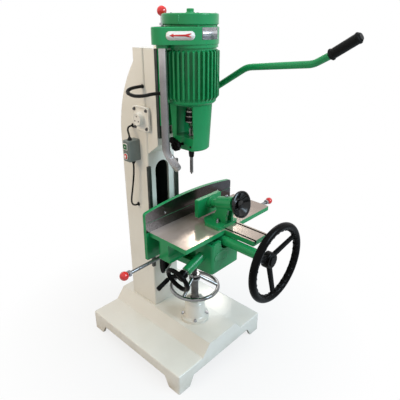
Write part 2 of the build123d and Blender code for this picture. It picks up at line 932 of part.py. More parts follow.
def make_motor_housing():
    fins = Circle(motor_root_radius)
    depth = motor_radius - motor_root_radius + 6
    for spot in PolarLocations(motor_radius - depth / 2, fin_count):
        fins += spot * Rectangle(depth, fin_thickness)
    body = Pos(0, spindle_y, motor_bottom) * extrude(fins, motor_height)
    low = motor_bottom
    high = motor_top
    root = motor_root_radius
    shape = [(0, low), (root - 6, low), (root, low + 6), (root, low + 12),
             (motor_radius, low + 12 + fin_chamfer), (motor_radius, high - 14), (root, high - 8),
             (root, high),
             (0, high)]
    body = body & turned(shape, (0, spindle_y, 0))
    back = spindle_y + motor_radius + 5
    body += block((-pad_half, pad_half), (spindle_y + 70, slide_front), (low, high))
    body -= block((-motor_radius - 1, motor_radius + 1), (slide_front, back), (low - 1, high + 1))
    out, face = motor_gland_frame()
    root_at = face - out * (motor_gland_length + 14)
    body += bar(root_at, face - out * 6, hose_gland_radius + 4)
    body += bar(root_at, face, hose_gland_radius)
    neck = [(0, high - 1), (neck_radius, high - 1), (neck_radius, scroll_bottom), (0, scroll_bottom)]
    neck = turned(neck, (0, spindle_y, 0))
    neck -= block((-motor_radius, motor_radius), (head_flat_back, back), (high - 2, scroll_bottom + 1))
    body += neck
    body -= bar((0, spindle_y, low + motor_floor), (0, spindle_y, scroll_bottom + 1), motor_bore)
    seat = bearing_radius + press_gap
    return body - bar((0, spindle_y, low - 1), (0, spindle_y, low + motor_floor + 1), seat)


def make_motor_stator():
    inner = rotor_radius + stator_gap
    face = Circle(motor_bore - press_gap) - Circle(inner)
    slots = [spot * Rectangle(20, 5) for spot in PolarLocations(inner + 16, 24)]
    for slot in slots:
        face -= slot
    return Pos(0, spindle_y, rotor_bottom) * extrude(face, rotor_height)


def make_spindle_bearings():
    bore = spindle_radius + running_fit
    profile = [(bore, 0), (bearing_radius, 0), (bearing_radius, bearing_height), (bore, bearing_height)]
    return Compound(children=[turned(profile, (0, spindle_y, z)) for z in (motor_bottom, scroll_bottom)])


def scroll_face(grow):
    """Plan of the blower ring: a circle that runs out into the lobe over the pipe."""
    circle = Pos(0, spindle_y) * Circle(scroll_radius + grow)
    lobe = Pos(pipe_x, pipe_y) * Circle(lobe_radius + grow)
    return make_hull((circle + lobe).edges())


def make_scroll_ring():
    body = Pos(0, 0, scroll_bottom) * extrude(scroll_face(0), scroll_height)
    wide = (-3 * scroll_radius, 3 * scroll_radius)
    back = spindle_y + 2 * scroll_radius
    trim = block(wide, (head_flat_back, back), (motor_bottom, scroll_top + scroll_height))
    body -= trim
    rims = [edge for edge in body.edges() if abs(edge.center().Z - scroll_top) < 0.1]
    body = chamfer(rims, 3)
    hollow = Pos(0, 0, scroll_bottom + scroll_wall) * extrude(scroll_face(-scroll_wall), scroll_height)
    wall_back = head_flat_back - scroll_wall
    hollow -= block(wide, (wall_back, back), (motor_bottom, scroll_top + scroll_height))
    body -= hollow
    below = scroll_bottom - pipe_collar_height
    body += bar((pipe_x, pipe_y, below), (pipe_x, pipe_y, scroll_bottom + 1), pipe_collar_radius)
    gap = motor_radius + 2 * hole_play
    body -= bar((0, spindle_y, motor_bottom), (0, spindle_y, scroll_bottom), gap)
    body -= bar((pipe_x, pipe_y, below - 1), (pipe_x, pipe_y, below + pipe_socket), pipe_radius + press_gap)
    seat = bearing_radius + press_gap
    body -= bar((0, spindle_y, scroll_bottom - 1), (0, spindle_y, scroll_bottom + 40), seat)
    return body


def make_fan_cover():
    edge = cover_edge
    top = cover_height
    profile = [(0, 0), (cover_radius - 3, 0), (cover_radius, 3), (cover_radius, top - edge),
               (cover_radius - 0.3 * edge, top - 0.3 * edge), (cover_radius - edge, top), (0, top)]
    inner = cover_radius - cover_wall
    roof = top - cover_wall
    hollow = [(0, -1), (inner, -1), (inner, top - edge), (inner - edge, roof), (0, roof)]
    cover = turned(profile, (0, spindle_y, cover_bottom))
    wide = (-2 * scroll_radius, 2 * scroll_radius)
    back = spindle_y + 2 * scroll_radius
    cover -= block(wide, (head_flat_back, back), (cover_bottom - 1, cover_top + 1))
    cavity = turned(hollow, (0, spindle_y, cover_bottom))
    cavity -= block(wide, (head_flat_back - cover_wall, back), (cover_bottom - 2, cover_top))
    cover -= cavity
    outer = scroll_radius - scroll_wall - slide_gap
    low = scroll_top - cover_skirt_depth
    high = cover_top - cover_wall + 1
    skirt = turned([(outer - cover_skirt, low), (outer, low), (outer, high), (outer - cover_skirt, high)],
                   (0, spindle_y, 0))
    skirt_back = head_flat_back - scroll_wall - slide_gap
    wall = block((-outer, outer), (skirt_back - cover_skirt, skirt_back), (low, high))
    wall = wall & bar((0, spindle_y, low), (0, spindle_y, high), outer)
    cover += skirt - block(wide, (skirt_back, back), (low - 1, high + 1)) + wall
    for turn in range(cover_post_count):
        angle = radians(360 / cover_post_count * turn)
        reach = inner - cover_post_radius + 1
        x = reach * cos(angle)
        y = min(spindle_y + reach * sin(angle), head_flat_back - cover_post_radius - 1)
        cover += bar((x, y, scroll_top), (x, y, cover_top - cover_wall + 1), cover_post_radius)
    for spot in PolarLocations(cover_vent_circle, cover_vents):
        vent = Pos(0, spindle_y, cover_top) * spot * Cylinder(cover_vent_radius, 4 * cover_wall)
        cover -= vent
    return cover


def make_cover_knob():
    edge = 0.15 * knob_radius
    foot = 1.25 * knob_radius
    profile = [(0, 0), (foot, 0), (foot, 0.2 * knob_height), (knob_radius, 0.3 * knob_height),
               (knob_radius, knob_height - edge), (knob_radius - edge, knob_height), (0, knob_height)]
    return turned(profile, (0, spindle_y, cover_top))


def make_blower_pipe():
    start = (pipe_x, pipe_y, scroll_bottom - pipe_collar_height + pipe_socket)
    path = FilletPolyline(start, (pipe_x, pipe_y, pipe_corner_z), pipe_end, radius=pipe_bend_radius)
    section = Circle(pipe_radius) - Circle(pipe_radius - pipe_wall)
    return sweep(Plane(origin=start, z_dir=(0, 0, -1)) * section, path)


def make_chuck_housing():
    top = motor_bottom
    low = housing_bottom
    profile = [(0, low), (housing_bottom_radius - 4, low), (housing_bottom_radius, low + 4),
               (housing_top_radius, top), (0, top)]
    body = turned(profile, (0, spindle_y, 0))
    flat = [(housing_bottom_half, low - 1), (housing_top_half, top + 1), (200, top + 1), (200, low - 1)]
    wide = (spindle_y - 120, spindle_y + 120)
    body -= front_plate(flat, *wide)
    body -= front_plate([(-x, z) for x, z in flat], *wide)
    ceiling = top - housing_roof
    cavity = bar((0, spindle_y, window_bottom), (0, spindle_y, ceiling), housing_bore)
    window = (spindle_y - window_front, spindle_y + window_rear)
    cavity += block((-2 * housing_bore, 2 * housing_bore), window, (window_bottom, ceiling))
    body -= cavity
    body -= bar((0, spindle_y, ceiling - 1), (0, spindle_y, top + 1), chuck_radius + 4 * hole_play)
    body -= bar((0, spindle_y, low - 1), (0, spindle_y, window_bottom + 1), bush_radius + press_gap)
    stem = clamp_stem_radius + running_fit
    body -= bar((-200, spindle_y, clamp_knob_z), (-bush_radius, spindle_y, clamp_knob_z), stem)
    return body - bar((-200, rear_knob_y, rear_knob_z), (-20, rear_knob_y, rear_knob_z), stem)


def make_chisel_bush():
    bore = chisel_shank_radius + press_gap
    length = window_bottom - housing_bottom
    profile = [(bore, 0), (bush_radius, 0), (bush_radius, length), (bore, length)]
    return turned(profile, (0, spindle_y, housing_bottom))


def make_hollow_chisel():
    shank = Pos(0, spindle_y, chisel_shoulder) * Cylinder(
        chisel_shank_radius, window_bottom - chisel_shoulder, align=(Align.CENTER, Align.CENTER, Align.MIN))
    round_end = Pos(0, spindle_y, chisel_shoulder) * Circle(chisel_shank_radius)
    square = RectangleRounded(chisel_size, chisel_size, 0.4)
    square_end = Pos(0, spindle_y, chisel_shoulder - chisel_taper) * square
    taper = loft([square_end, round_end])
    blade = extrude(square_end, chisel_tip - (chisel_shoulder - chisel_taper))
    body = shank + taper + blade
    body -= bar((0, spindle_y, chisel_tip - 1), (0, spindle_y, window_bottom + 1), chisel_bore)
    cone = Pos(0, spindle_y, chisel_tip - 0.5) * Cone(
        0.62 * chisel_size, chisel_bore, 6, align=(Align.CENTER, Align.CENTER, Align.MIN))
    body -= cone
    middle = (chisel_shoulder + chisel_tip) / 2 - 8
    return body - block((-chisel_size, 0), (spindle_y - 3, spindle_y + 3), (middle - 22, middle + 22))


def make_depth_stop_rod():
    foot = (stop_rod_x, stop_rod_y, slide_top - 39)
    rod = bar(foot, (stop_rod_x, stop_rod_y, stop_ball_z), stop_rod_radius)
    nut = Pos(stop_rod_x, stop_rod_y, stop_nut_z) * hexagon(nut_across, nut_height)
    return rod + nut


def ball_knob(centre, axis, stem_radius):
    """Ball with a blind hole that its stem enters from below."""
    half = Circle(ball_radius) & Pos(ball_radius, 0) * Rectangle(2 * ball_radius, 2 * ball_radius)
    hole = stem_radius + running_fit
    half -= Pos(hole / 2, -ball_radius) * Rectangle(hole, 2 * ball_radius + 0.2)
    return Plane(origin=centre, z_dir=axis) * revolve(Plane.XZ * half, Axis.Z, 360)


def make_depth_stop_ball():
    return ball_knob((stop_rod_x, stop_rod_y, stop_ball_z), (0, 0, 1), stop_rod_radius)


def make_spindle():
    rotor_top = rotor_bottom + rotor_height
    chuck_top = chuck_bottom + chuck_height
    profile = [(0, chuck_top - 30), (spindle_radius - 1, chuck_top - 30), (spindle_radius, chuck_top - 28),
               (spindle_radius, rotor_bottom - 8), (26, rotor_bottom - 8), (26, rotor_bottom),
               (rotor_radius, rotor_bottom), (rotor_radius, rotor_top), (26, rotor_top), (26, rotor_top + 8),
               (spindle_radius, rotor_top + 8), (spindle_radius, spindle_top), (0, spindle_top)]
    return turned(profile, (0, spindle_y, 0))


def make_blower_fan():
    base = spindle_top - fan_height - 6
    bore = spindle_radius + press_gap
    hub = turned([(bore, 0), (26, 0), (26, fan_height), (bore, fan_height)], (0, spindle_y, base))
    disc = turned([(bore, 0), (fan_radius, 0), (fan_radius, 3), (bore, 3)], (0, spindle_y, base))
    blade = Pos((fan_radius + 18) / 2, 0, fan_height / 2) * Box(fan_radius - 22, 3, fan_height)
    centre = Pos(0, spindle_y, base)
    blades = [centre * Rot(0, 0, 360 / fan_blades * turn) * blade for turn in range(fan_blades)]
    return fuse(hub + disc, blades)


def make_drill_chuck():
    high = chuck_height
    profile = [(0, 0), (8, 0), (15, 16), (chuck_radius, 18), (chuck_radius, 42), (chuck_radius - 2, 44),
               (chuck_radius - 2, 62), (14, high - 6), (14, high), (0, high)]
    chuck = turned(profile, (0, spindle_y, chuck_bottom))
    bore = spindle_radius + press_gap
    top = chuck_bottom + high
    chuck -= bar((0, spindle_y, top - 30 - press_gap), (0, spindle_y, top + 1), bore)
    grip = chuck_bottom + auger_grip
    chuck -= bar((0, spindle_y, chuck_bottom - 1), (0, spindle_y, grip + press_gap), auger_radius + press_gap)
    for turn in range(3):
        angle = radians(120 * turn)
        out = Vector(cos(angle), sin(angle), 0)
        centre = Vector(0, spindle_y, chuck_bottom + 52)
        chuck -= bar(centre + out * 13, centre + out * 40, 3.5)
    return chuck


def make_auger_bit():
    low = chisel_tip - auger_out
    top = chuck_bottom + auger_grip
    core = bar((0, spindle_y, low + 4), (0, spindle_y, top), 0.45 * auger_radius)
    shank_low = housing_bottom
    shank = bar((0, spindle_y, shank_low), (0, spindle_y, top), auger_radius)
    turn = 22.0
    flute = shank_low - low
    section = Rectangle(2 * auger_radius - 0.1, 0.5 * auger_radius)
    twist = Pos(0, spindle_y, low) * extrude(section, 4)
    pieces = int(flute / 6)
    step = flute / pieces
    for number in range(pieces):
        height = low + number * step
        a = Plane(origin=(0, spindle_y, height)) * Rot(0, 0, 360 * number * step / turn) * section
        spin = 360 * (number + 1) * step / turn
        b = Plane(origin=(0, spindle_y, height + step)) * Rot(0, 0, spin) * section
        twist += loft([a, b])
    return core + shank + twist


def star_knob(radius, height, centre, axis, stem_radius, stem_out, stem_in):
    """Lobed hand knob on a clamping stem; the stem points away from the knob's axis direction."""
    face = Circle(0.72 * radius)
    for spot in PolarLocations(0.7 * radius, knob_lobes):
        face += spot * Circle(0.3 * radius)
    grip = extrude(face, height)
    grip = chamfer(grip.faces().sort_by(Axis.Z)[-1].edges(), 0.08 * radius)
    grip += Pos(0, 0, -4) * Cylinder(0.45 * radius, 4, align=(Align.CENTER, Align.CENTER, Align.MIN))
    length = stem_out + stem_in
    stem = Pos(0, 0, -length) * Cylinder(stem_radius, length, align=(Align.CENTER, Align.CENTER, Align.MIN))
    return Plane(origin=centre, z_dir=axis) * (grip + stem)


def housing_side(z):
    """Half width between the housing's flats at a height."""
    share = (z - housing_bottom) / (motor_bottom - housing_bottom)
    return housing_bottom_half + (housing_top_half - housing_bottom_half) * share


def make_chisel_clamp_knob():
    face = -housing_side(clamp_knob_z) - clamp_stem_out
    stem_in = -bush_radius - face - clamp_stem_out - hole_play
    return star_knob(clamp_knob_radius, clamp_knob_height, (face, spindle_y, clamp_knob_z), (-1, 0, 0),
                     clamp_stem_radius, clamp_stem_out, stem_in)


def make_rear_clamp_knob():
    face = -housing_side(rear_knob_z) - rear_stem_out
    return star_knob(rear_knob_radius, rear_knob_height, (face, rear_knob_y, rear_knob_z), (-1, 0, 0),
                     clamp_stem_radius, rear_stem_out, 20)


def make_pedestal():
    bore = sleeve_radius + press_gap
    seat = 30.0
    rise = pedestal_flange_height
    profile = [(bore, 0), (pedestal_flange_radius, 0), (pedestal_flange_radius, rise),
               (pedestal_radius + 5, rise + 2), (pedestal_radius, rise + 8),
               (pedestal_radius - 2, pedestal_height - 16), (pedestal_top_radius, pedestal_height - 10),
               (pedestal_top_radius, pedestal_height), (bore, pedestal_height)]
    body = turned(profile, (0, screw_y, ridge_height))
    hollow = pedestal_height - seat
    ends = ((0, screw_y, ridge_height - 1), (0, screw_y, ridge_height + hollow))
    return body - bar(*ends, pedestal_radius - 12)


def make_thrust_sleeve():
    bore = screw_radius + screw_room
    profile = [(bore, -28), (sleeve_radius, -28), (sleeve_radius, 0), (sleeve_radius + 5, 0),
               (sleeve_radius + 5, 6), (sleeve_radius, 8), (sleeve_radius, sleeve_height),
               (bore, sleeve_height)]
    return turned(profile, (0, screw_y, pedestal_top))


def make_elevating_wheel():
    bore = screw_radius + running_fit
    radius = ring_hub_radius
    profile = [(bore, 0), (radius - 2, 0), (radius, 2), (radius, ring_hub_height - 8),
               (radius - 5, ring_hub_height), (bore + 3, ring_hub_height), (bore, ring_hub_height - 3)]
    wheel = turned(profile, (0, screw_y, sleeve_top))
    rim_z = sleeve_top - ring_drop
    wheel += ring((0, screw_y, rim_z), (0, 0, 1), ring_radius, ring_tube)
    for turn in range(ring_spokes):
        angle = radians(360 / ring_spokes * turn + ring_spoke_turn)
        out = Vector(cos(angle), sin(angle), 0)
        inner = Vector(0, screw_y, sleeve_top + ring_hub_height / 2) + out * (0.8 * ring_hub_radius)
        wheel += bar(inner, Vector(0, screw_y, rim_z) + out * ring_radius, ring_spoke_radius)
    return wheel


def knee_plan(inset, front):
    """Flared plan of the knee, moved inwards by a wall."""
    side = [(knee_front_half - inset, front), (knee_side_half - inset, knee_flare_end),
            (knee_side_half - inset, slider_front)]
    return side + [(-x, y) for x, y in reversed(side)]


def make_knee():
    body = flat_plate(knee_plan(0, knee_front), knee_bottom, knee_shoulder)
    body -= block((-200, 200), (knee_shoulder_back, slider_front + 1), (knee_wall_top, knee_shoulder + 1))
    corners = edges_along(body, Axis.Z, lambda at: at.Y < knee_front + 1)
    body = fillet(corners, 12)
    inner_front = knee_front + knee_front_wall
    inside = knee_plan(knee_wall, inner_front)
    body -= flat_plate(inside, deck_top, knee_shoulder + 1)
    body -= flat_plate(knee_plan(2 * knee_wall, inner_front), knee_bottom - 1, deck_top - deck_plate)
    half = knee_front_half - knee_wall
    raised = [(-half, knee_shoulder - 20), (half, knee_shoulder - 20), (half, knee_shoulder),
              (half - 14, knee_front_top), (14 - half, knee_front_top), (-half, knee_shoulder)]
    body += front_plate(raised, knee_front, inner_front)
    notch = bar((0, knee_front - 1, steer_z), (0, inner_front + 1, steer_z), notch_radius)
    deep = (knee_front - 1, inner_front + 1)
    notch += block((-notch_radius, notch_radius), deep, (steer_z, knee_front_top + 1))
    body -= notch
    body -= block((hatch_left, hatch_right), (knee_front - 1, inner_front + 1), (hatch_bottom, hatch_top))
    way = [(-dove_foot_half, deck_top - 1), (dove_foot_half, deck_top - 1), (dove_foot_half, deck_top),
           (dove_top_half, deck_top + dove_height), (-dove_top_half, deck_top + dove_height),
           (-dove_foot_half, deck_top)]
    body += front_plate(way, inner_front, saddle_back - 2)
    slider_back = column_front - knee_way_depth - slide_gap
    slider = block((-cheek_half, cheek_half), (slider_front, slider_back), (slider_bottom, slider_top))
    slider = chamfer(edges_along(slider, Axis.Y, lambda at: at.Z > slider_top - 1), slider_edge)
    body += slider
    cheek_inner = half_column + knee_way_overhang + slide_gap
    for side in (-1, 1):
        low, high = sorted((side * cheek_inner, side * cheek_half))
        body += block((low, high), (slider_back - 1, column_front + slide_gap), (keeper_bottom, keeper_top))
        low, high = sorted((side * (knee_side_half - knee_wall), side * knee_side_half))
        gusset = [(slider_front + 1, knee_wall_top - 1), (slider_front + 1, slider_top - 2 * slider_edge),
                  (gusset_foot, knee_wall_top), (gusset_foot, knee_wall_top - 1)]
        body += side_plate(gusset, low, high)
    body += bar((0, screw_y, knee_bottom - screw_boss_drop), (0, screw_y, deck_top - 1), screw_boss_radius)
    body -= bar((0, screw_y, knee_bottom - screw_boss_drop - 1), (0, screw_y, deck_top - 2),
                screw_radius + press_gap)
    root = cross_wheel_at + cross_along * (cross_sleeve_start + 50)
    tip = root - cross_along * (cross_sleeve_length + 20)
    sleeve = bar(tip, root, cross_sleeve_radius)
    sleeve -= flat_plate(inside, deck_top, knee_front_top)
    body += sleeve
    bore = cross_shaft_radius + running_fit
    body -= bar(tip - cross_along * 10, root + cross_along * 10, bore)
    outer = (-knee_side_half - 1, knee_clamp_y, knee_clamp_z)
    inner = (knee_wall + 1 - knee_side_half, knee_clamp_y, knee_clamp_z)
    return body - bar(outer, inner, clamp_stem_radius + running_fit)


def make_knee_keepers():
    low = column_front + slide_gap
    bars = [block(sorted((side * keeper_inner, side * cheek_half)), (low, low + keeper_thickness),
                  (keeper_bottom, keeper_top)) for side in (-1, 1)]
    return Compound(children=bars)


def make_elevating_screw():
    top = deck_top - 3
    return bar((0, screw_y, knee_bottom - screw_length), (0, screw_y, top), screw_radius)


def make_knee_clamp_lever():
    face = -knee_side_half - hole_play
    outer = face - knee_clamp_out
    inner = (face + knee_wall, knee_clamp_y, knee_clamp_z)
    stem = bar(inner, (face, knee_clamp_y, knee_clamp_z), clamp_stem_radius)
    hub = bar((face, knee_clamp_y, knee_clamp_z), (outer, knee_clamp_y, knee_clamp_z), knee_clamp_hub)
    low = knee_clamp_z - knee_clamp_arm
    arm = [(knee_clamp_y - 9, knee_clamp_z), (knee_clamp_y - 11, low + 12), (knee_clamp_y - 6, low),
           (knee_clamp_y + 6, low), (knee_clamp_y + 11, low + 12), (knee_clamp_y + 9, knee_clamp_z)]
    return stem + hub + side_plate(arm, outer, outer + knee_clamp_thick)


def make_cross_shaft():
    start = cross_wheel_at + cross_along * (cross_hub_set + hub_cap)
    shaft = bar(start, cross_pinion_at + cross_along * 6, cross_shaft_radius)
    teeth = outline_face(gear_teeth(rack_module, cross_teeth, 0, cross_teeth - 1))
    half = cross_pinion_face / 2
    facing = Plane(origin=cross_pinion_at - cross_along * half, x_dir=cross_up, z_dir=cross_along)
    return shaft + facing * extrude(teeth, cross_pinion_face)


def make_cross_handwheel():
    """Dished wheel: its hub stands behind the rim, towards the knee."""
    wheel = ring(cross_wheel_at, cross_along, cross_wheel_radius, cross_wheel_tube)
    radius = cross_hub_radius
    length = cross_hub_length
    hub = cross_wheel_at + cross_along * cross_hub_set
    profile = [(0, 0), (radius - 2, 0), (radius, 2), (radius, length - 2), (radius - 2, length), (0, length)]
    wheel += turned(profile, hub, cross_along)
    for turn in range(cross_spokes):
        angle = radians(360 / cross_spokes * turn + crank_angle)
        out = Vector(0, cos(angle), 0) + cross_up * sin(angle)
        start = hub + cross_along * (length / 2) + out * (radius / 2)
        reach = cross_wheel_at + out * cross_wheel_radius - start
        root = Plane(origin=start, x_dir=cross_along.cross(out), z_dir=reach)
        spoke = RectangleRounded(cross_spoke_width, cross_spoke_thickness, 3)
        wheel += root * extrude(spoke, reach.length)
    bore = cross_shaft_radius + press_gap
    wheel -= bar(hub + cross_along * (hub_cap - 0.1), hub + cross_along * (length + 1), bore)
    return wheel + bar(*crank_pin(), crank_pin_radius)


def crank_pin():
    """Ends of the pin that carries the crank handle, on the rim beside the hub."""
    angle = radians(crank_angle)
    out = Vector(0, cos(angle), 0) + cross_up * sin(angle)
    root = cross_wheel_at + out * cross_wheel_radius
    return root, root - cross_along * (cross_wheel_tube + crank_handle_length)


def make_crank_handle():
    root, tip = crank_pin()
    start = root - cross_along * (cross_wheel_tube + 1.5)
    length = crank_handle_length
    bore = crank_pin_radius + running_fit
    radius = crank_handle_radius
    profile = [(bore, 0), (radius - 4, 0), (radius - 1, 6), (radius - 2, 16), (radius, length - 16),
               (radius - 2, length - 4), (radius - 6, length + 2), (0, length + 2), (0, length),
               (bore, length)]
    return turned(profile, start, cross_along * -1)


def make_saddle():
    body = block((-saddle_half, saddle_half), (saddle_front, saddle_back), (saddle_bottom, saddle_top))
    gap = slide_gap
    groove = [(-dove_foot_half - gap, saddle_bottom - 1), (dove_foot_half + gap, saddle_bottom - 1),
              (dove_foot_half + gap, saddle_bottom), (dove_top_half + gap, saddle_bottom + dove_height),
              (-dove_top_half - gap, saddle_bottom + dove_height), (-dove_foot_half - gap, saddle_bottom)]
    body -= front_plate(groove, saddle_front - 1, saddle_back + 1)
    foot = rail_foot_half + gap
    neck = rail_neck_half + gap
    low = saddle_top - 1
    step = rail_bottom + rail_foot_height + gap
    slope = step + rail_slope_height
    high = saddle_top + guide_height
    front = [(guide_front, low), (rail_y - foot, low), (rail_y - foot, step), (rail_y - neck, slope),
             (rail_y - neck, high), (guide_front, high)]
    rear = [(guide_back, low), (rail_y + foot, low), (rail_y + foot, step), (rail_y + neck, slope),
            (rail_y + neck, high), (guide_back, high)]
    body += side_plate(front, -guide_half, guide_half)
    body += side_plate(rear, -guide_half, guide_half)
    boss_top = steer_z + boss_half
    boss_back = rail_y - neck - 4
    body += block((-boss_half, boss_half), (guide_front, boss_back), (high - 1, boss_top))
    body += block((-pedestal_half, pedestal_half), (saddle_front, pedestal_back), (low, steer_z))
    body += bar((0, sleeve_front, steer_z), (0, pedestal_back, steer_z), sleeve_outer)
    body += front_plate(rack_arm(), saddle_front, cross_rack_rear)
    deep = (saddle_front - 1, guide_front)
    body -= block((-saddle_half - 1, -28), deep, (saddle_top - 24, saddle_top + 0.1))
    bore = steer_radius + running_fit
    body -= bar((0, sleeve_front - 1, steer_z), (0, steer_end + 1, steer_z), bore)
    hole = stop_bar_radius + press_gap
    return body - bar((-200, stop_bar_y, stop_bar_z), (200, stop_bar_y, stop_bar_z), hole)


def rack_arm():
    """Bracket outline that hangs the cross rack over its pinion."""
    back = cross_pitch + 1.25 * rack_module + cross_rack_back

    def at(along, up):
        point = cross_pinion_at + cross_along * along + cross_up * up
        return (point.X, point.Z)

    half = cross_rack_half
    return [at(-half, back), at(-half, back + 9), at(half + 6, back + 9), (-22, saddle_top + 44),
            (-22, saddle_top - 1), (-28, saddle_top - 1), (-28, saddle_top + 34), at(half, back)]


def make_cross_rack():
    low = cross_rack_front - cross_y
    high = cross_rack_rear - cross_y
    face = rack_teeth(rack_module, low, high, cross_rack_back)
    lying = extrude(face, cross_rack_half, both=True)
    place = cross_pinion_at + cross_up * cross_pitch
    return Plane(origin=place, x_dir=(0, 1, 0), z_dir=cross_along) * lying


def make_stop_rod():
    left = (stop_bar_left, stop_bar_y, stop_bar_z)
    rod = bar(left, (stop_bar_right, stop_bar_y, stop_bar_z), stop_bar_radius)
    for side, inward in ((stop_bar_left, 1), (stop_bar_right, -1)):
        start = side + inward * (ball_radius + 2)
        seat = Plane(origin=(start, stop_bar_y, stop_bar_z), z_dir=(inward, 0, 0))
        nut = seat * hexagon(nut_across + 4, nut_height)
        rod += nut
    return rod


def make_stop_balls():
    ends = ((stop_bar_left, -1), (stop_bar_right, 1))
    return Compound(children=[ball_knob((x, stop_bar_y, stop_bar_z), (outward, 0, 0), stop_bar_radius)
                              for x, outward in ends])


def make_steering_shaft():
    shaft = bar((0, wheel_hub_front + 6, steer_z), (0, steer_end, steer_z), steer_radius)
    teeth = outline_face(gear_teeth(rack_module, steer_teeth, 0, steer_teeth - 1))
    facing = Plane(origin=(0, pinion_back, steer_z), x_dir=(0, 0, 1), z_dir=(0, -1, 0))
    return shaft + facing * extrude(teeth, pinion_back - pinion_front)


def make_steering_wheel():
    wheel = ring((0, wheel_rim_y, steer_z), (0, 1, 0), wheel_rim_radius, wheel_tube)
    length = wheel_hub_back - wheel_hub_front
    radius = wheel_hub_radius
    profile = [(0, 0), (radius, 0), (radius, length - 4), (radius - 4, length), (0, length)]
    wheel += turned([(r, -h) for r, h in profile], (0, wheel_hub_back, steer_z), (0, 1, 0))
    for turn in range(wheel_spokes):
        angle = 360 / wheel_spokes * turn - 90
        out = Vector(cos(radians(angle)), 0, sin(radians(angle)))
        inner = out * 20 + Vector(0, wheel_hub_front + 12, steer_z)
        outer = Vector(cos(radians(angle)), 0, sin(radians(angle))) * wheel_rim_radius
        outer += Vector(0, wheel_rim_y, steer_z)
        across = Vector(-sin(radians(angle)), 0, cos(radians(angle)))
        start = Plane(origin=inner, x_dir=across, z_dir=outer - inner)
        end = Plane(origin=outer, x_dir=across, z_dir=outer - inner)
        wheel += loft([start * Ellipse(wheel_spoke_width / 2, wheel_spoke_thickness / 2),
                       end * Ellipse(0.8 * wheel_spoke_width / 2, wheel_spoke_thickness / 2)])
    bore = steer_radius + press_gap
    return wheel - bar((0, wheel_hub_front + 6 - press_gap, steer_z), (0, wheel_hub_back + 1, steer_z), bore)


def make_table():
    body = block((table_left, table_right), (table_front, table_back), (table_under, table_top))
    half = extension_width / 2
    under = table_top - extension_thickness
    across = (extension_x - half, extension_x + half)
    body += block(across, (extension_front, table_front + 20), (under, table_top))
    upright = edges_along(body, Axis.Z, lambda at: at.Y < table_front + 1)
    body = fillet(upright, 6)
    foot = rail_foot_half
    neck = rail_neck_half
    step = rail_bottom + rail_foot_height
    slope = step + rail_slope_height
    side = [(foot, rail_bottom), (foot, step), (neck, slope), (neck, table_under + 1)]
    rail = [(rail_y + y, z) for y, z in side] + [(rail_y - y, z) for y, z in reversed(side)]
    body += side_plate(rail, table_left, table_right)
    for edge, inward in ((table_left, 1), (table_right, -1)):
        outer = edge + inward * lug_inset
        inner = outer + inward * lug_thickness
        deep = (rail_y + neck - 2, stop_bar_y + 14)
        lug = block(sorted((outer, inner)), deep, (lug_bottom, table_under + 1))
        lug -= bar((outer - inward, stop_bar_y, stop_bar_z), (inner + inward, stop_bar_y, stop_bar_z),
                   stop_hole_radius)
        body += lug
    for offset in (-tee_slot_offset, tee_slot_offset):
        x = extension_x + offset
        span = (extension_front - 1, tee_slot_back)
        wide = tee_slot_width / 2
        body -= block((x - wide, x + wide), span, (table_top - tee_slot_depth, table_top + 1))
        wide = tee_foot_width / 2
        body -= block((x - wide, x + wide), span,
                      (table_top - tee_slot_depth, table_top - tee_slot_depth + tee_foot_depth))
    return body


def make_table_rack():
    face = rack_teeth(rack_module, table_rack_left, table_rack_right, rack_depth - 2.05 * rack_module)
    lying = extrude(face, (pinion_back - pinion_front) / 2, both=True)
    middle = (pinion_front + pinion_back) / 2
    return Plane(origin=(0, middle, rack_pitch_z), x_dir=(1, 0, 0), z_dir=(0, -1, 0)) * lying


def make_fence():
    back = table_back + fence_thickness
    crown_x = (fence_left + fence_right) / 2
    top = ThreePointArc((fence_left, fence_end_top), (crown_x, fence_crown), (fence_right, fence_end_top))
    sides = Polyline((fence_right, fence_end_top), (fence_right, fence_bottom), (fence_left, fence_bottom),
                     (fence_left, fence_end_top))
    body = extrude(Plane.XZ.offset(-back) * make_face([top, sides]), fence_thickness)
    body = fillet(edges_along(body, Axis.Y, lambda at: at.Z > fence_end_top - 1), fence_corner)
    body = chamfer(body.faces().sort_by(Axis.Y)[-1].edges(), 3)
    groove = (fence_groove_z, fence_groove_z + fence_groove_height)
    deep = (table_back - 1, table_back + fence_groove_depth)
    return body - block((fence_left - 1, fence_right + 1), deep, groove)


def vise_point(along):
    return vise_at + vise_along * along


def make_vise_bracket():
    half = vise_base_width / 2
    nose = vise_base_nose / 2
    x = extension_x + vise_base_shift
    plan = [(x - half, vise_base_front), (x + half, vise_base_front), (x + half, vise_base_side),
            (x + nose, vise_base_back), (x - nose, vise_base_back), (x - half, vise_base_side)]
    top = table_top + vise_base_thickness
    body = flat_plate(plan, table_top, top)
    body = fillet(edges_along(body, Axis.Z, lambda at: True), 10)
    body += bar(vise_point(-vise_boss_rear), vise_point(vise_boss_front), vise_boss_radius)
    inner = 0.2 * vise_boss_radius
    web = [(vise_base_front + 10, top - 1), (vise_gusset_back, top - 1), (vise_gusset_top, vise_z - inner),
           (vise_base_front - 4, vise_z - inner)]
    for spot in (-vise_gusset_spread / 2, vise_gusset_spread / 2):
        middle = extension_x + spot
        body += side_plate(web, middle - vise_gusset / 2, middle + vise_gusset / 2)
    ram_end = vise_point(vise_boss_front + 20)
    ram_hole = bar(vise_point(-vise_boss_rear + 1), ram_end, ram_radius + running_fit)
    screw_hole = bar(vise_point(-vise_boss_rear - 1), vise_point(0), vise_screw_radius + running_fit)
    return body - ram_hole - screw_hole


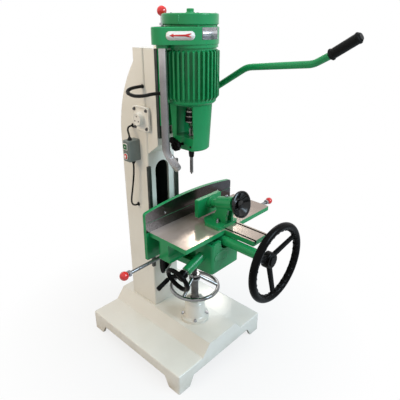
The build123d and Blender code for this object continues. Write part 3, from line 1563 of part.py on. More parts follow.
def make_vise_jaw():
    back = jaw_face - jaw_thickness
    body = block((jaw_left, jaw_right), (back, jaw_face), (jaw_bottom, jaw_top))
    body = fillet(edges_along(body, Axis.Y, lambda at: True), 5)
    reach = (jaw_face - jaw_thickness / 2 - vise_y) / cos(radians(vise_tilt))
    ram = bar(vise_point(-ram_inside), vise_point(reach), ram_radius)
    ram += bar(vise_point(reach - 30), vise_point(reach), ram_radius + 7)
    ram -= block((jaw_left, jaw_right), (jaw_face - 2, jaw_face + 40), (jaw_bottom - 40, jaw_top))
    body += ram
    return body - bar(vise_point(-ram_inside - 1), vise_point(vise_screw_front + 44), ram_bore)


def make_vise_screw():
    return bar(vise_point(-vise_screw_rear), vise_point(vise_screw_front), vise_screw_radius)


def make_vise_handwheel():
    radius = vise_wheel_radius
    wall = vise_wheel_wall
    dish = vise_wheel_dish
    hub = vise_hub_radius
    bore = vise_screw_radius + press_gap
    profile = [(bore, 0), (hub - 2, 0), (hub, 4), (hub + 4, 8), (radius - 6, dish - 2), (radius, dish + 2),
               (radius, dish + 10), (radius - 5, dish + 12), (radius - wall, dish + 6), (hub + 2, 8 + wall),
               (hub - 4, 10 + wall), (hub - 5, 32), (0, 34), (0, vise_screw_rear - vise_hub_back + 0.1),
               (bore, vise_screw_rear - vise_hub_back + 0.1)]
    return turned(profile, vise_point(-vise_hub_back), vise_along * -1)


pieces = {
    "base": make_base,
    "column": make_column,
    "column_ways": make_column_ways,
    "head_ways": make_head_ways,
    "pedestal": make_pedestal,
    "thrust_sleeve": make_thrust_sleeve,
    "bearing_plate": make_bearing_plate,
    "bearing_flange": make_bearing_flange,
    "switch_box": make_switch_box,
    "cable_glands": make_cable_glands,
    "switch_cable_upper": make_switch_cable_upper,
    "switch_cable_lower": make_switch_cable_lower,
    "motor_hose": make_motor_hose,
    "head_slide": make_head_slide,
    "head_rack": make_head_rack,
    "motor_housing": make_motor_housing,
    "motor_stator": make_motor_stator,
    "spindle_bearings": make_spindle_bearings,
    "scroll_ring": make_scroll_ring,
    "fan_cover": make_fan_cover,
    "cover_knob": make_cover_knob,
    "blower_pipe": make_blower_pipe,
    "chuck_housing": make_chuck_housing,
    "chisel_bush": make_chisel_bush,
    "hollow_chisel": make_hollow_chisel,
    "depth_stop_rod": make_depth_stop_rod,
    "depth_stop_ball": make_depth_stop_ball,
    "spindle": make_spindle,
    "blower_fan": make_blower_fan,
    "drill_chuck": make_drill_chuck,
    "auger_bit": make_auger_bit,
    "chisel_clamp_knob": make_chisel_clamp_knob,
    "rear_clamp_knob": make_rear_clamp_knob,
    "feed_shaft": make_feed_shaft,
    "sector_gear": make_sector_gear,
    "feed_lever": make_feed_lever,
    "lever_grip": make_lever_grip,
    "elevating_wheel": make_elevating_wheel,
    "knee": make_knee,
    "knee_keepers": make_knee_keepers,
    "elevating_screw": make_elevating_screw,
    "knee_clamp_lever": make_knee_clamp_lever,
    "cross_shaft": make_cross_shaft,
    "cross_handwheel": make_cross_handwheel,
    "crank_handle": make_crank_handle,
    "saddle": make_saddle,
    "cross_rack": make_cross_rack,
    "stop_rod": make_stop_rod,
    "stop_balls": make_stop_balls,
    "steering_shaft": make_steering_shaft,
    "steering_wheel": make_steering_wheel,
    "table": make_table,
    "table_rack": make_table_rack,
    "fence": make_fence,
    "vise_bracket": make_vise_bracket,
    "vise_jaw": make_vise_jaw,
    "vise_screw": make_vise_screw,
    "vise_handwheel": make_vise_handwheel,
    "start_button": lambda: make_button(start_z),
    "stop_button": lambda: make_button(stop_z),
}

for name, make in pieces.items():
    export_step(make(), f"parts/{name}.step")
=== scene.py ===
# %% [markdown]
# # Hollow chisel mortiser
# The machine arrives here as separate solids, already in place and in metres. This lesson dresses
# them: a camera first, then the finishes, the cables and the hose, then the small pieces that are
# too fine for the solids, and at last the floor and the light.

# %% Load the solids
import bpy
import bmesh
from math import acos, atan2, cos, hypot, pi, radians, sin, sqrt
from mathutils import Matrix, Vector


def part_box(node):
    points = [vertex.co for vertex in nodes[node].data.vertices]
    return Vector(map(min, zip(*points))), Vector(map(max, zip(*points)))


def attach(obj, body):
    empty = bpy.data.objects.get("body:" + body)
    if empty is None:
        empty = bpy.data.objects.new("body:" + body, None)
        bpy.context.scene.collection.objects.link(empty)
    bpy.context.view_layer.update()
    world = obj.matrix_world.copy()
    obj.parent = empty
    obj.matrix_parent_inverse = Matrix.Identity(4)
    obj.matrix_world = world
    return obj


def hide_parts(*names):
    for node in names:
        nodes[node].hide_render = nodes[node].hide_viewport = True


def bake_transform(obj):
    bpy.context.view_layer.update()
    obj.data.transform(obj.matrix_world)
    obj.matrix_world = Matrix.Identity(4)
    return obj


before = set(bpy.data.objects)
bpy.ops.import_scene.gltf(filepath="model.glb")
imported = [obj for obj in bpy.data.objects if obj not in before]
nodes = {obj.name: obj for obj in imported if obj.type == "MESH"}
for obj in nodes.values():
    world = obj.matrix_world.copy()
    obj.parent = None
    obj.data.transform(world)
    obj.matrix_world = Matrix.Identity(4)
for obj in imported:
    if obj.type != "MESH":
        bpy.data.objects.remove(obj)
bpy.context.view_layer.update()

# %% [markdown]
# ## Camera
# The view looks down on the machine from its front left corner, from about eye height. The lens
# is close to a plain standard lens, so that the uprights lean together only a little.

# %% Set the camera
def place_object(name, data):
    """Makes an object from its data and puts it into the scene."""
    made = bpy.data.objects.new(name, data)
    bpy.context.collection.objects.link(made)
    return made


camera = place_object("camera", bpy.data.cameras.new("camera"))
camera.location = (-1.15206, -1.25342, 1.500)
camera.rotation_euler = (radians(66.0), 0.0, radians(-46.8))
camera.data.lens = 36.36
camera.data.sensor_width = 36.0
camera.data.clip_end = 60.0
bpy.context.scene.camera = camera
print("camera at", [round(v, 3) for v in camera.location])

# %% [markdown]
# ## Node helpers
# A finish is a tree of nodes. It could be drawn by hand in the editor, but a script gives the
# same tree each time it runs. Two helpers carry the rest: one adds a node with its settings, and
# one feeds an input, either from another node or with a plain value.

# %% Add nodes and feed their inputs
def add(tree, kind, values=None, **settings):
    """Adds a node, sets its properties and the inputs that are named or numbered."""
    node = tree.nodes.new(kind)
    for key, value in settings.items():
        setattr(node, key, value)
    for key, value in (values or {}).items():
        node.inputs[key].default_value = value
    return node


def feed(tree, socket, value):
    """Links an input to another node's output, or sets it to a plain value."""
    if isinstance(value, bpy.types.NodeSocket):
        tree.links.new(value, socket)
    else:
        socket.default_value = value


def combine(tree, operation, first, second):
    """Joins two sockets or numbers with a math node and gives its output."""
    node = add(tree, "ShaderNodeMath", operation=operation)
    feed(tree, node.inputs[0], first)
    feed(tree, node.inputs[1], second)
    return node.outputs[0]


print("nodes can be added, fed and combined")

# %% [markdown]
# The finishes here have no pictures and no unwrapped surfaces. Their patterns come from noise in
# the space of the object itself, which needs no seams and keeps its scale on every piece. A noise
# value lies mostly near its middle, so it is spread before it drives a mix.

# %% Make and spread noise, and mix colours
def object_place(tree):
    """Coordinate of a point in the object's own space, in metres."""
    return add(tree, "ShaderNodeTexCoord").outputs["Object"]


def noise(tree, vector, scale, detail, roughness=0.55):
    """Noise texture on a coordinate; scale is a number or a socket."""
    node = add(tree, "ShaderNodeTexNoise", {"Detail": detail, "Roughness": roughness})
    feed(tree, node.inputs["Vector"], vector)
    feed(tree, node.inputs["Scale"], scale)
    return node.outputs["Fac"]


def spread(tree, value, low, high, to_low=0.0, to_high=1.0):
    """Stretches the part of a value between low and high to another range."""
    node = add(tree, "ShaderNodeMapRange")
    names = ("Value", "From Min", "From Max", "To Min", "To Max")
    for name, given in zip(names, (value, low, high, to_low, to_high)):
        feed(tree, node.inputs[name], given)
    return node.outputs["Result"]


def mix(tree, share, first, second):
    """Mixes two colours by a share; the colour sockets of a mix node are 6 and 7."""
    node = add(tree, "ShaderNodeMix", data_type="RGBA")
    for number, value in ((0, share), (6, first), (7, second)):
        feed(tree, node.inputs[number], value)
    return node.outputs[2]


print("noise, spread and mix ready")

# %% [markdown]
# ## Effects that repeat
# Paint that drifts in shade, cast skin under it, rubbed edges, grinding lines and dust turn up on
# many pieces. They could be copied into every material. As node groups with named inputs they are
# built once, and each material places them with its own values.

# %% Start a group
groups = {}


def new_group(name, inputs, outputs):
    """Empty node group; gives its tree, its inputs to read and its outputs to feed."""
    tree = groups[name] = bpy.data.node_groups.new(name, "ShaderNodeTree")
    kinds = {float: "NodeSocketFloat", tuple: "NodeSocketColor", Vector: "NodeSocketVector"}
    for label, value in inputs.items():
        kind = kinds[type(value)]
        socket = tree.interface.new_socket(name=label, in_out="INPUT", socket_type=kind)
        socket.default_value = value
    for label, kind in outputs.items():
        tree.interface.new_socket(name=label, in_out="OUTPUT", socket_type=kind)
    return tree, add(tree, "NodeGroupInput").outputs, add(tree, "NodeGroupOutput").inputs


print("groups can be started")

# %% [markdown]
# No sprayed or ground surface has one even colour or one even gloss: both wander over a hand's
# breadth. One group mixes a colour with a deeper one by broad noise, and another moves the
# roughness between a smooth and a dull value in the same way.

# %% Let colour and gloss drift
tree, given, out = new_group(
    "shade_drift", {"Colour": (1.0,) * 4, "Deep": (0.5, 0.5, 0.5, 1.0), "Scale": 4.0,
                    "Amount": 0.5}, {"Colour": "NodeSocketColor"})
broad = noise(tree, object_place(tree), given["Scale"], detail=5.0, roughness=0.6)
share = combine(tree, "MULTIPLY", spread(tree, broad, 0.32, 0.68), given["Amount"])
feed(tree, out["Colour"], mix(tree, share, given["Colour"], given["Deep"]))

tree, given, out = new_group("gloss_drift", {"Scale": 9.0, "Smooth": 0.25, "Dull": 0.45},
                             {"Roughness": "NodeSocketFloat"})
patch = noise(tree, object_place(tree), given["Scale"], detail=6.0, roughness=0.62)
feed(tree, out["Roughness"], spread(tree, patch, 0.35, 0.65, given["Smooth"], given["Dull"]))
print("groups so far:", ", ".join(groups))

# %% [markdown]
# A casting keeps the grain of its sand mould and a slow sway under its paint. Both are too fine
# to model, so the group adds two noises to a height, which a bump node turns into shading.

# %% Give castings their skin
tree, given, out = new_group("cast_skin", {"Grain": 220.0, "Fine": 0.4, "Sway": 26.0, "Broad": 0.6},
                             {"Height": "NodeSocketFloat"})
spot = object_place(tree)
fine = combine(tree, "MULTIPLY", noise(tree, spot, given["Grain"], detail=2.0), given["Fine"])
broad = combine(tree, "MULTIPLY", noise(tree, spot, given["Sway"], detail=3.0), given["Broad"])
feed(tree, out["Height"], combine(tree, "ADD", fine, broad))
print("groups so far:", ", ".join(groups))

# %% [markdown]
# Edges are where hands and work rub first. A bevel node rounds the normal near an edge. Where
# that normal leaves the face's own, there is an edge, and noise breaks the worn line up. The
# rounded normal is put out as well, so that sharp edges catch the light as rounded ones do.

# %% Rub the edges
tree, given, out = new_group("edge_rub", {"Radius": 0.002, "Break": 60.0, "Strength": 1.0},
                             {"Mask": "NodeSocketFloat", "Normal": "NodeSocketVector"})
rounded = add(tree, "ShaderNodeBevel", samples=4)
feed(tree, rounded.inputs["Radius"], given["Radius"])
agree = add(tree, "ShaderNodeVectorMath", operation="DOT_PRODUCT")
feed(tree, agree.inputs[0], rounded.outputs[0])
feed(tree, agree.inputs[1], add(tree, "ShaderNodeNewGeometry").outputs["Normal"])
bent = combine(tree, "SUBTRACT", 1.0, agree.outputs["Value"])
flecks = noise(tree, object_place(tree), given["Break"], detail=4.0)
broken = spread(tree, flecks, 0.42, 0.62)
mask = combine(tree, "MULTIPLY", spread(tree, bent, 0.03, 0.22), broken)
feed(tree, out["Mask"], combine(tree, "MULTIPLY", mask, given["Strength"]))
feed(tree, out["Normal"], rounded.outputs[0])
print("groups so far:", ", ".join(groups))

# %% [markdown]
# A grinding wheel or a lathe leaves fine lines that all run one way. Noise gives such lines when
# its space is pressed together across them and left long along them.

# %% Draw the lines of the tool
tree, given, out = new_group("tool_lines", {"Stretch": Vector((4.0, 500.0, 4.0))},
                             {"Height": "NodeSocketFloat", "Shade": "NodeSocketFloat"})
scaled = add(tree, "ShaderNodeVectorMath", operation="MULTIPLY")
feed(tree, scaled.inputs[0], object_place(tree))
feed(tree, scaled.inputs[1], given["Stretch"])
lines = noise(tree, scaled.outputs[0], scale=1.0, detail=5.0, roughness=0.7)
feed(tree, out["Height"], lines)
feed(tree, out["Shade"], spread(tree, lines, 0.3, 0.7))
print("groups so far:", ", ".join(groups))

# %% [markdown]
# Workshop dust gathers low down, so its mask fades with the height above the floor. The last
# group is a plain helper: a mask that is 1 between two values along an axis. Three of them
# multiplied give a box, which can pick out a slot or a hollow without cutting the mesh.

# %% Lay dust and mask a range
tree, given, out = new_group("floor_dust", {"Reach": 0.12, "Scale": 22.0},
                             {"Mask": "NodeSocketFloat"})
spot = object_place(tree)
axes = add(tree, "ShaderNodeSeparateXYZ")
feed(tree, axes.inputs[0], spot)
low = spread(tree, axes.outputs["Z"], given["Reach"], 0.0)
patch = noise(tree, spot, given["Scale"], detail=6.0, roughness=0.65)
patch = spread(tree, patch, 0.35, 0.7)
feed(tree, out["Mask"], combine(tree, "MULTIPLY", low, patch))

tree, given, out = new_group("within", {"Axis": Vector((1.0, 0.0, 0.0)), "Low": 0.0, "High": 1.0},
                             {"Mask": "NodeSocketFloat"})
along = add(tree, "ShaderNodeVectorMath", operation="DOT_PRODUCT")
feed(tree, along.inputs[0], object_place(tree))
feed(tree, along.inputs[1], given["Axis"])
above = combine(tree, "GREATER_THAN", along.outputs["Value"], given["Low"])
below = combine(tree, "LESS_THAN", along.outputs["Value"], given["High"])
feed(tree, out["Mask"], combine(tree, "MULTIPLY", above, below))
print("groups:", ", ".join(groups))

# %% [markdown]
# ## Families of finish
# Painted castings, ground iron, turned steel and moulded plastic make up the whole machine. Each
# family is one function, and each finish calls it with its own colours and scales. Colours are
# written as a screen shows them and turned to linear light here.

# %% Start a material and place groups in it
finishes = {}


def start_material(name):
    """New material, listed among the finishes; gives its tree and its shader."""
    material = finishes[name] = bpy.data.materials.new(name)
    material.use_nodes = True
    tree = material.node_tree
    return tree, next(node for node in tree.nodes if node.type == "BSDF_PRINCIPLED")


def use(tree, name, **values):
    """Places a group with its own values and gives its outputs."""
    return add(tree, "ShaderNodeGroup", values, node_tree=groups[name]).outputs


def rgba(colour):
    """Colour written in the values of a screen, 0 to 255, turned to linear light."""
    def linear(value):
        value /= 255
        return value / 12.92 if value <= 0.04045 else ((value + 0.055) / 1.055) ** 2.4
    return (*(linear(value) for value in colour), 1.0)


print("materials can be started")

# %% [markdown]
# Every family ends in the same few steps: its colour, its gloss and its relief go to the shader.
# A box mask is shared too, for painted shade inside a hollow or a slot.

# %% Share the last steps
def set_gloss(tree, shader, scale, smooth, dull):
    """Lets the roughness drift between two values."""
    gloss = use(tree, "gloss_drift", Scale=scale, Smooth=smooth, Dull=dull)
    feed(tree, shader.inputs["Roughness"], gloss["Roughness"])


def set_relief(tree, shader, height, strength, distance, normal=None):
    """Turns a height into shading, on top of a normal where one is given."""
    node = add(tree, "ShaderNodeBump", {"Strength": strength, "Distance": distance})
    feed(tree, node.inputs["Height"], height)
    if normal is not None:
        feed(tree, node.inputs["Normal"], normal)
    feed(tree, shader.inputs["Normal"], node.outputs["Normal"])


def inside_box(tree, box):
    """Mask of a box, given as (low, high) along X, Y and Z in metres."""
    inside = 1.0
    for axis, (low, high) in zip(((1, 0, 0), (0, 1, 0), (0, 0, 1)), box):
        part = use(tree, "within", Axis=axis, Low=low, High=high)
        inside = combine(tree, "MULTIPLY", part["Mask"], inside)
    return inside


print("gloss, relief and box masks ready")

# %% [markdown]
# The castings are sprayed over a filled skin. The paint is thin on the edges, so a paler tone
# shows there, and dust clings near the floor. Painted wear could be drawn into a picture, but
# masks follow every edge of every casting by themselves.

# %% Paint a casting
PAINT_DRIFT = {"Scale": 5.0, "Amount": 0.55}
PAINT_SKIN = {"Grain": 260.0, "Fine": 0.25, "Sway": 30.0, "Broad": 0.75}
PAINT_RELIEF = {"strength": 0.22, "distance": 0.0012}
# painted shade, dark grey, for the inside of a hollow
HOLLOW_PAINTED_SHADE = (50, 52, 50)


def painted(name, colour, deep, bare, smooth, dull, shine, dust=None, edge=0.0022, rub=0.55,
            hollow=None):
    """Sprayed paint over a casting; a hollow is a box that gets painted shade inside."""
    tree, shader = start_material(name)
    drift = use(tree, "shade_drift", Colour=rgba(colour), Deep=rgba(deep), **PAINT_DRIFT)
    rubbed = use(tree, "edge_rub", Radius=edge, Break=48.0, Strength=rub)
    tint = mix(tree, rubbed["Mask"], drift["Colour"], rgba(bare))
    if dust:
        reach, dust_colour = dust
        dusty = use(tree, "floor_dust", Reach=reach, Scale=18.0)
        tint = mix(tree, dusty["Mask"], tint, rgba(dust_colour))
    # painted shade inside the hollow
    if hollow:
        tint = mix(tree, inside_box(tree, hollow), tint, rgba(HOLLOW_PAINTED_SHADE))
    feed(tree, shader.inputs["Base Color"], tint)
    set_gloss(tree, shader, scale=11.0, smooth=smooth, dull=dull)
    skin = use(tree, "cast_skin", **PAINT_SKIN)
    set_relief(tree, shader, skin["Height"], **PAINT_RELIEF, normal=rubbed["Normal"])
    shader.inputs["Specular IOR Level"].default_value = shine


print("paint ready")

# %% [markdown]
# Ways, rods, the chuck and the pipe are bare metal. What tells one metal from another is its
# colour, how long its tool lines are and how polished it is, so those are the inputs of one
# function.

# %% Grind bare metal
EDGE_ROUND = 0.0012


def ground(name, colour, deep, stretch, smooth, dull, scale=14.0, edge=EDGE_ROUND, metal=1.0):
    """Bare iron or steel with the lines that the wheel or the file left."""
    tree, shader = start_material(name)
    colour, deep = rgba(colour), rgba(deep)
    lines = use(tree, "tool_lines", Stretch=stretch)
    drift = use(tree, "shade_drift", Colour=colour, Deep=deep, Scale=scale, Amount=0.8)
    shade = combine(tree, "MULTIPLY", lines["Shade"], 0.35)
    lined = mix(tree, shade, drift["Colour"], deep)
    rubbed = use(tree, "edge_rub", Radius=edge, Break=80.0, Strength=0.5)
    bright = (*(min(1.0, 1.5 * part) for part in colour[:3]), 1.0)
    feed(tree, shader.inputs["Base Color"], mix(tree, rubbed["Mask"], lined, bright))
    set_gloss(tree, shader, scale, smooth, dull)
    set_relief(tree, shader, lines["Height"], strength=0.08, distance=0.0003,
               normal=rubbed["Normal"])
    shader.inputs["Metallic"].default_value = metal


print("bare metal ready")

# %% [markdown]
# Knobs, wheels, grips and cables are moulded. Their skin copies the mould, finer than sand, and
# hands polish them. Black plastic reflects little here, so that it stays black under a wide lamp.

# %% Mould plastic and rubber
def moulded(name, colour, deep, smooth, dull, grain, depth, coat=0.0, shine=0.5):
    """Plastic or rubber with the fine skin of its mould and a little handling shine."""
    tree, shader = start_material(name)
    colour = rgba(colour)
    drift = use(tree, "shade_drift", Colour=colour, Deep=rgba(deep), Scale=24.0, Amount=0.6)
    rubbed = use(tree, "edge_rub", Radius=EDGE_ROUND, Break=90.0, Strength=0.35)
    worn = (*(0.9 * part + 0.03 for part in colour[:3]), 1.0)
    feed(tree, shader.inputs["Base Color"], mix(tree, rubbed["Mask"], drift["Colour"], worn))
    set_gloss(tree, shader, scale=32.0, smooth=smooth, dull=dull)
    skin = use(tree, "cast_skin", Grain=grain, Fine=0.7, Sway=60.0, Broad=0.3)
    set_relief(tree, shader, skin["Height"], strength=depth, distance=0.0004,
               normal=rubbed["Normal"])
    shader.inputs["Coat Weight"].default_value = coat
    shader.inputs["Specular IOR Level"].default_value = shine


print("plastic and rubber ready")

# %% [markdown]
# The table and the fence are painted castings with one ground working face each. Two materials on
# one solid would need its faces sorted, and a solid is not changed here. So one material looks at
# the normal: a face that looks the right way, above a height, is iron. The tee slots get painted
# shade, near black. Painted shade and painted dark reflections darken the table's ground face
# towards its right end and its front.

# %% Grind one face of a painted casting
GREEN, DEEP_GREEN = (32, 146, 87), (18, 122, 68)
RUBBED_PRIMER = (168, 176, 170)
# painted shade, near black, for the inside of the tee slots
SLOT_PAINTED_SHADE = (22, 21, 20)
LEFT_RIGHT = Vector((5.0, 420.0, 420.0))
LOOKS_FROM, LOOKS_FULL = 0.86, 0.9
NO_CEILING = 9.0


def ground_metal(tree, iron, iron_deep, shade, painted_shade):
    """Colour of a ground face: blotches, lines and painted shade along each given direction."""
    blotch = use(tree, "shade_drift", Colour=iron, Deep=iron_deep, Scale=7.0, Amount=0.55)
    metal = mix(tree, combine(tree, "MULTIPLY", shade, 0.25), blotch["Colour"], iron_deep)
    # painted shade and painted dark reflection: the face darkens along each given run
    for along, start, end, share in painted_shade:
        run = add(tree, "ShaderNodeVectorMath", {1: along}, operation="DOT_PRODUCT")
        feed(tree, run.inputs[0], object_place(tree))
        thick = spread(tree, run.outputs["Value"], start, end, 0.0, share)
        metal = mix(tree, thick, metal, iron_deep)
    return metal


def working_face(tree, axis, sign, above):
    """Mask of the faces that look along one axis, above a height."""
    facing = add(tree, "ShaderNodeSeparateXYZ")
    feed(tree, facing.inputs[0], add(tree, "ShaderNodeTexCoord").outputs["Normal"])
    looks = combine(tree, "MULTIPLY", facing.outputs[axis], sign)
    looks = spread(tree, looks, LOOKS_FROM, LOOKS_FULL)
    high = use(tree, "within", Axis=(0.0, 0.0, 1.0), Low=above, High=NO_CEILING)
    return combine(tree, "MULTIPLY", looks, high["Mask"])


print("working faces ready")

# %% [markdown]
# The two halves meet in one shader. The mask of the working face chooses between their colours
# and is the metallic value as well. The skin of the paint and the lines of the tool share one
# relief by the same mask, so that neither shows on the other's faces.

# %% Join the painted and the ground half
def half_painted(name, iron, deep, axis, sign, smooth, dull, above=0.0, slots=(), metal_share=1.0,
                 painted_shade=()):
    """Green casting whose faces along one axis are ground, with painted shade in slots given as
    boxes.
    """
    tree, shader = start_material(name)
    bare = working_face(tree, axis, sign, above)
    drift = use(tree, "shade_drift", Colour=rgba(GREEN), Deep=rgba(DEEP_GREEN), **PAINT_DRIFT)
    rubbed = use(tree, "edge_rub", Radius=0.0016, Break=48.0, Strength=0.8)
    worn = mix(tree, rubbed["Mask"], drift["Colour"], rgba(RUBBED_PRIMER))
    lines = use(tree, "tool_lines", Stretch=LEFT_RIGHT)
    tint = mix(tree, bare, worn, ground_metal(tree, rgba(iron), rgba(deep), lines["Shade"], painted_shade))
    # painted shade inside the slots
    for box in slots:
        tint = mix(tree, inside_box(tree, box), tint, rgba(SLOT_PAINTED_SHADE))
    feed(tree, shader.inputs["Base Color"], tint)
    feed(tree, shader.inputs["Metallic"], combine(tree, "MULTIPLY", bare, metal_share))
    shader.inputs["Specular IOR Level"].default_value = 0.3
    set_gloss(tree, shader, scale=10.0, smooth=smooth, dull=dull)
    paint_share = combine(tree, "SUBTRACT", 1.0, bare)
    skin = combine(tree, "MULTIPLY", use(tree, "cast_skin", **PAINT_SKIN)["Height"], paint_share)
    scored = combine(tree, "MULTIPLY", lines["Height"], bare)
    height = combine(tree, "ADD", skin, combine(tree, "MULTIPLY", scored, 0.2))
    set_relief(tree, shader, height, **PAINT_RELIEF, normal=rubbed["Normal"])


print("half painted castings ready")

# %% [markdown]
# ## One finish for each slot
# The base and the column are a warm white, the other castings a mid green. The hollow behind the
# column's long slot gets painted shade, a dark grey, which a box picks out. The table's
# ground face is warm and polished, the fence's darker.

# %% Mix the paints
CREAM, DEEP_CREAM, WORN_CREAM = (232, 229, 220), (222, 217, 206), (242, 240, 235)
DUST = (196, 188, 172)
# box of the column's hollow, which gets painted shade
COLUMN_HOLLOW = ((-0.0683, 0.0683), (0.0775, 0.2385), (0.2, 0.95))
TABLE_TOP, SLOT_WIDE, SLOT_RUN = 0.7, 0.011, (-0.4569, -0.19)
tee_slots = [((left, left + SLOT_WIDE), SLOT_RUN, (TABLE_TOP - 0.016, TABLE_TOP - 0.0006))
             for left in (0.0125, 0.0825)]
# direction, where the painted shade starts and is full in metres, and its share there
TABLE_PAINTED_SHADE = (((1.0, 0.0, 0.0), 0.05, 0.28, 0.9), ((0.0, -1.0, 0.0), 0.34, 0.46, 0.5))

painted("cream_paint", CREAM, DEEP_CREAM, WORN_CREAM, smooth=0.05, dull=0.13, shine=0.5,
        dust=(0.1, DUST), edge=0.003, rub=0.5)
painted("column_paint", CREAM, DEEP_CREAM, WORN_CREAM, smooth=0.12, dull=0.26, shine=0.5,
        dust=(0.2, DUST), edge=0.003, rub=0.5, hollow=COLUMN_HOLLOW)
painted("bearing_paint", (236, 234, 227), (220, 216, 207), (170, 168, 160), smooth=0.3, dull=0.46,
        shine=0.4, edge=0.002)
painted("green_paint", GREEN, DEEP_GREEN, (92, 184, 134), smooth=0.1, dull=0.22, shine=0.32)
half_painted("table_iron", (224, 207, 192), (158, 140, 130), "Z", 1.0, smooth=0.1, dull=0.24,
             slots=tee_slots, metal_share=0.7, painted_shade=TABLE_PAINTED_SHADE)
half_painted("fence_iron", (104, 100, 102), (64, 63, 65), "Y", -1.0, smooth=0.16, dull=0.3,
             above=0.699)
print("paints:", len(finishes))

# %% [markdown]
# The metals run from oiled grey ways to the bright screw and rods. Rods and screws stand upright
# or are turned, so their lines run up and down; gears and the fan are cut across. The pipe is
# zinc coated and less of a mirror than steel.

# %% Choose the metals
UP_DOWN = Vector((420.0, 420.0, 5.0))

# name, colour, deeper colour, how close the lines lie along X, Y and Z, smooth, dull
ground("way_iron", (96, 97, 94), (60, 61, 59), UP_DOWN, 0.34, 0.55, scale=30.0)
ground("bright_steel", (192, 192, 195), (128, 128, 133), UP_DOWN, 0.16, 0.3)
ground("gear_steel", (120, 118, 118), (74, 72, 72), LEFT_RIGHT, 0.3, 0.5)
ground("tool_steel", (108, 104, 104), (64, 60, 60), UP_DOWN, 0.22, 0.42)
ground("lamination", (120, 112, 104), (80, 74, 68), Vector((5.0, 5.0, 900.0)), 0.4, 0.6)
ground("fan_alloy", (190, 190, 190), (150, 150, 150), LEFT_RIGHT, 0.35, 0.5)
ground("galvanised", (202, 197, 197), (146, 141, 140), UP_DOWN, 0.14, 0.26, scale=9.0,
       edge=0.0002, metal=0.85)
# painted highlight: the chisel's steel is lighter than the tool steel of its slot
ground("lit_chisel_steel", (150, 147, 144), (88, 85, 83), UP_DOWN, 0.18, 0.34)
# painted light: the shank's steel is lighter than plain steel, for its place in the shaded housing
ground("lit_shank_steel", (240, 238, 234), (206, 203, 198), UP_DOWN, 0.36, 0.5)
ground("black_oxide", (40, 39, 38), (22, 21, 21), UP_DOWN, 0.3, 0.45)
# painted shade: the thrust sleeve's steel is darker, for the shade under the wheel and its dark
# reflections
ground("shaded_sleeve_steel", (122, 120, 118), (66, 64, 63), Vector((5.0, 5.0, 420.0)), 0.2, 0.34)
ground("ring_alloy", (164, 164, 164), (96, 96, 96), Vector((70.0, 70.0, 300.0)), 0.03, 0.1)
ground("rod_steel", (112, 108, 105), (62, 59, 57), Vector((300.0, 40.0, 40.0)), 0.25, 0.42)
ground("plate_metal", (206, 207, 210), (160, 162, 168), Vector((5.0, 5.0, 600.0)), 0.22, 0.36)
print("paints and metals:", len(finishes))

# %% [markdown]
# The plastics are black on the wheels and knobs, red on the balls, and grey on the switch box.
# The ball knobs have a clear coat, because hard moulded balls are polished. Rubber is duller and
# coarser.

# %% Choose the plastics and rubbers
# name, colour, deeper colour, smooth, dull, grain of the mould, depth of its skin
moulded("black_plastic", (11, 10, 10), (6, 6, 6), 0.16, 0.3, 700.0, 0.25, shine=0.06)
moulded("dish_plastic", (15, 15, 15), (8, 8, 8), 0.08, 0.2, 700.0, 0.1, shine=0.35)
moulded("grip_rubber", (14, 14, 14), (8, 8, 8), 0.34, 0.5, 900.0, 0.5, shine=0.14)
moulded("red_plastic", (222, 28, 26), (186, 14, 16), 0.12, 0.24, 400.0, 0.05, coat=0.6)
moulded("box_plastic", (118, 126, 122), (100, 108, 104), 0.36, 0.52, 800.0, 0.25)
moulded("collar_plastic", (222, 222, 216), (206, 206, 198), 0.35, 0.5, 600.0, 0.15)
moulded("start_plastic", (24, 104, 54), (16, 82, 42), 0.25, 0.4, 500.0, 0.1)
moulded("stop_plastic", (206, 36, 38), (170, 22, 24), 0.25, 0.4, 500.0, 0.1)
moulded("gland_plastic", (26, 26, 26), (17, 17, 17), 0.35, 0.5, 700.0, 0.2, shine=0.18)
moulded("cable_rubber", (20, 20, 20), (13, 13, 13), 0.36, 0.52, 900.0, 0.3, shine=0.18)
moulded("hose_rubber", (24, 23, 22), (14, 13, 13), 0.34, 0.5, 800.0, 0.35, shine=0.2)
moulded("white_vinyl", (240, 236, 231), (228, 223, 217), 0.3, 0.45, 500.0, 0.1)
moulded("arrow_red", (214, 44, 40), (190, 30, 30), 0.35, 0.5, 500.0, 0.1)
print("paints, metals and plastics:", len(finishes))

# %% [markdown]
# The drill chuck is blackened steel with bright turned bands. Rings could be modelled over it,
# but the bands are flush, so masks along its axis pick them out. Between them its sleeve is
# knurled, which is a bump of two crossed waves.

# %% Band and knurl the chuck
BRIGHT_BANDS = ((0.0, 0.013), (0.0175, 0.0215), (0.0395, 0.0435), (0.058, 0.064), (0.069, 0.086))
KNURL_SCALE = 150.0

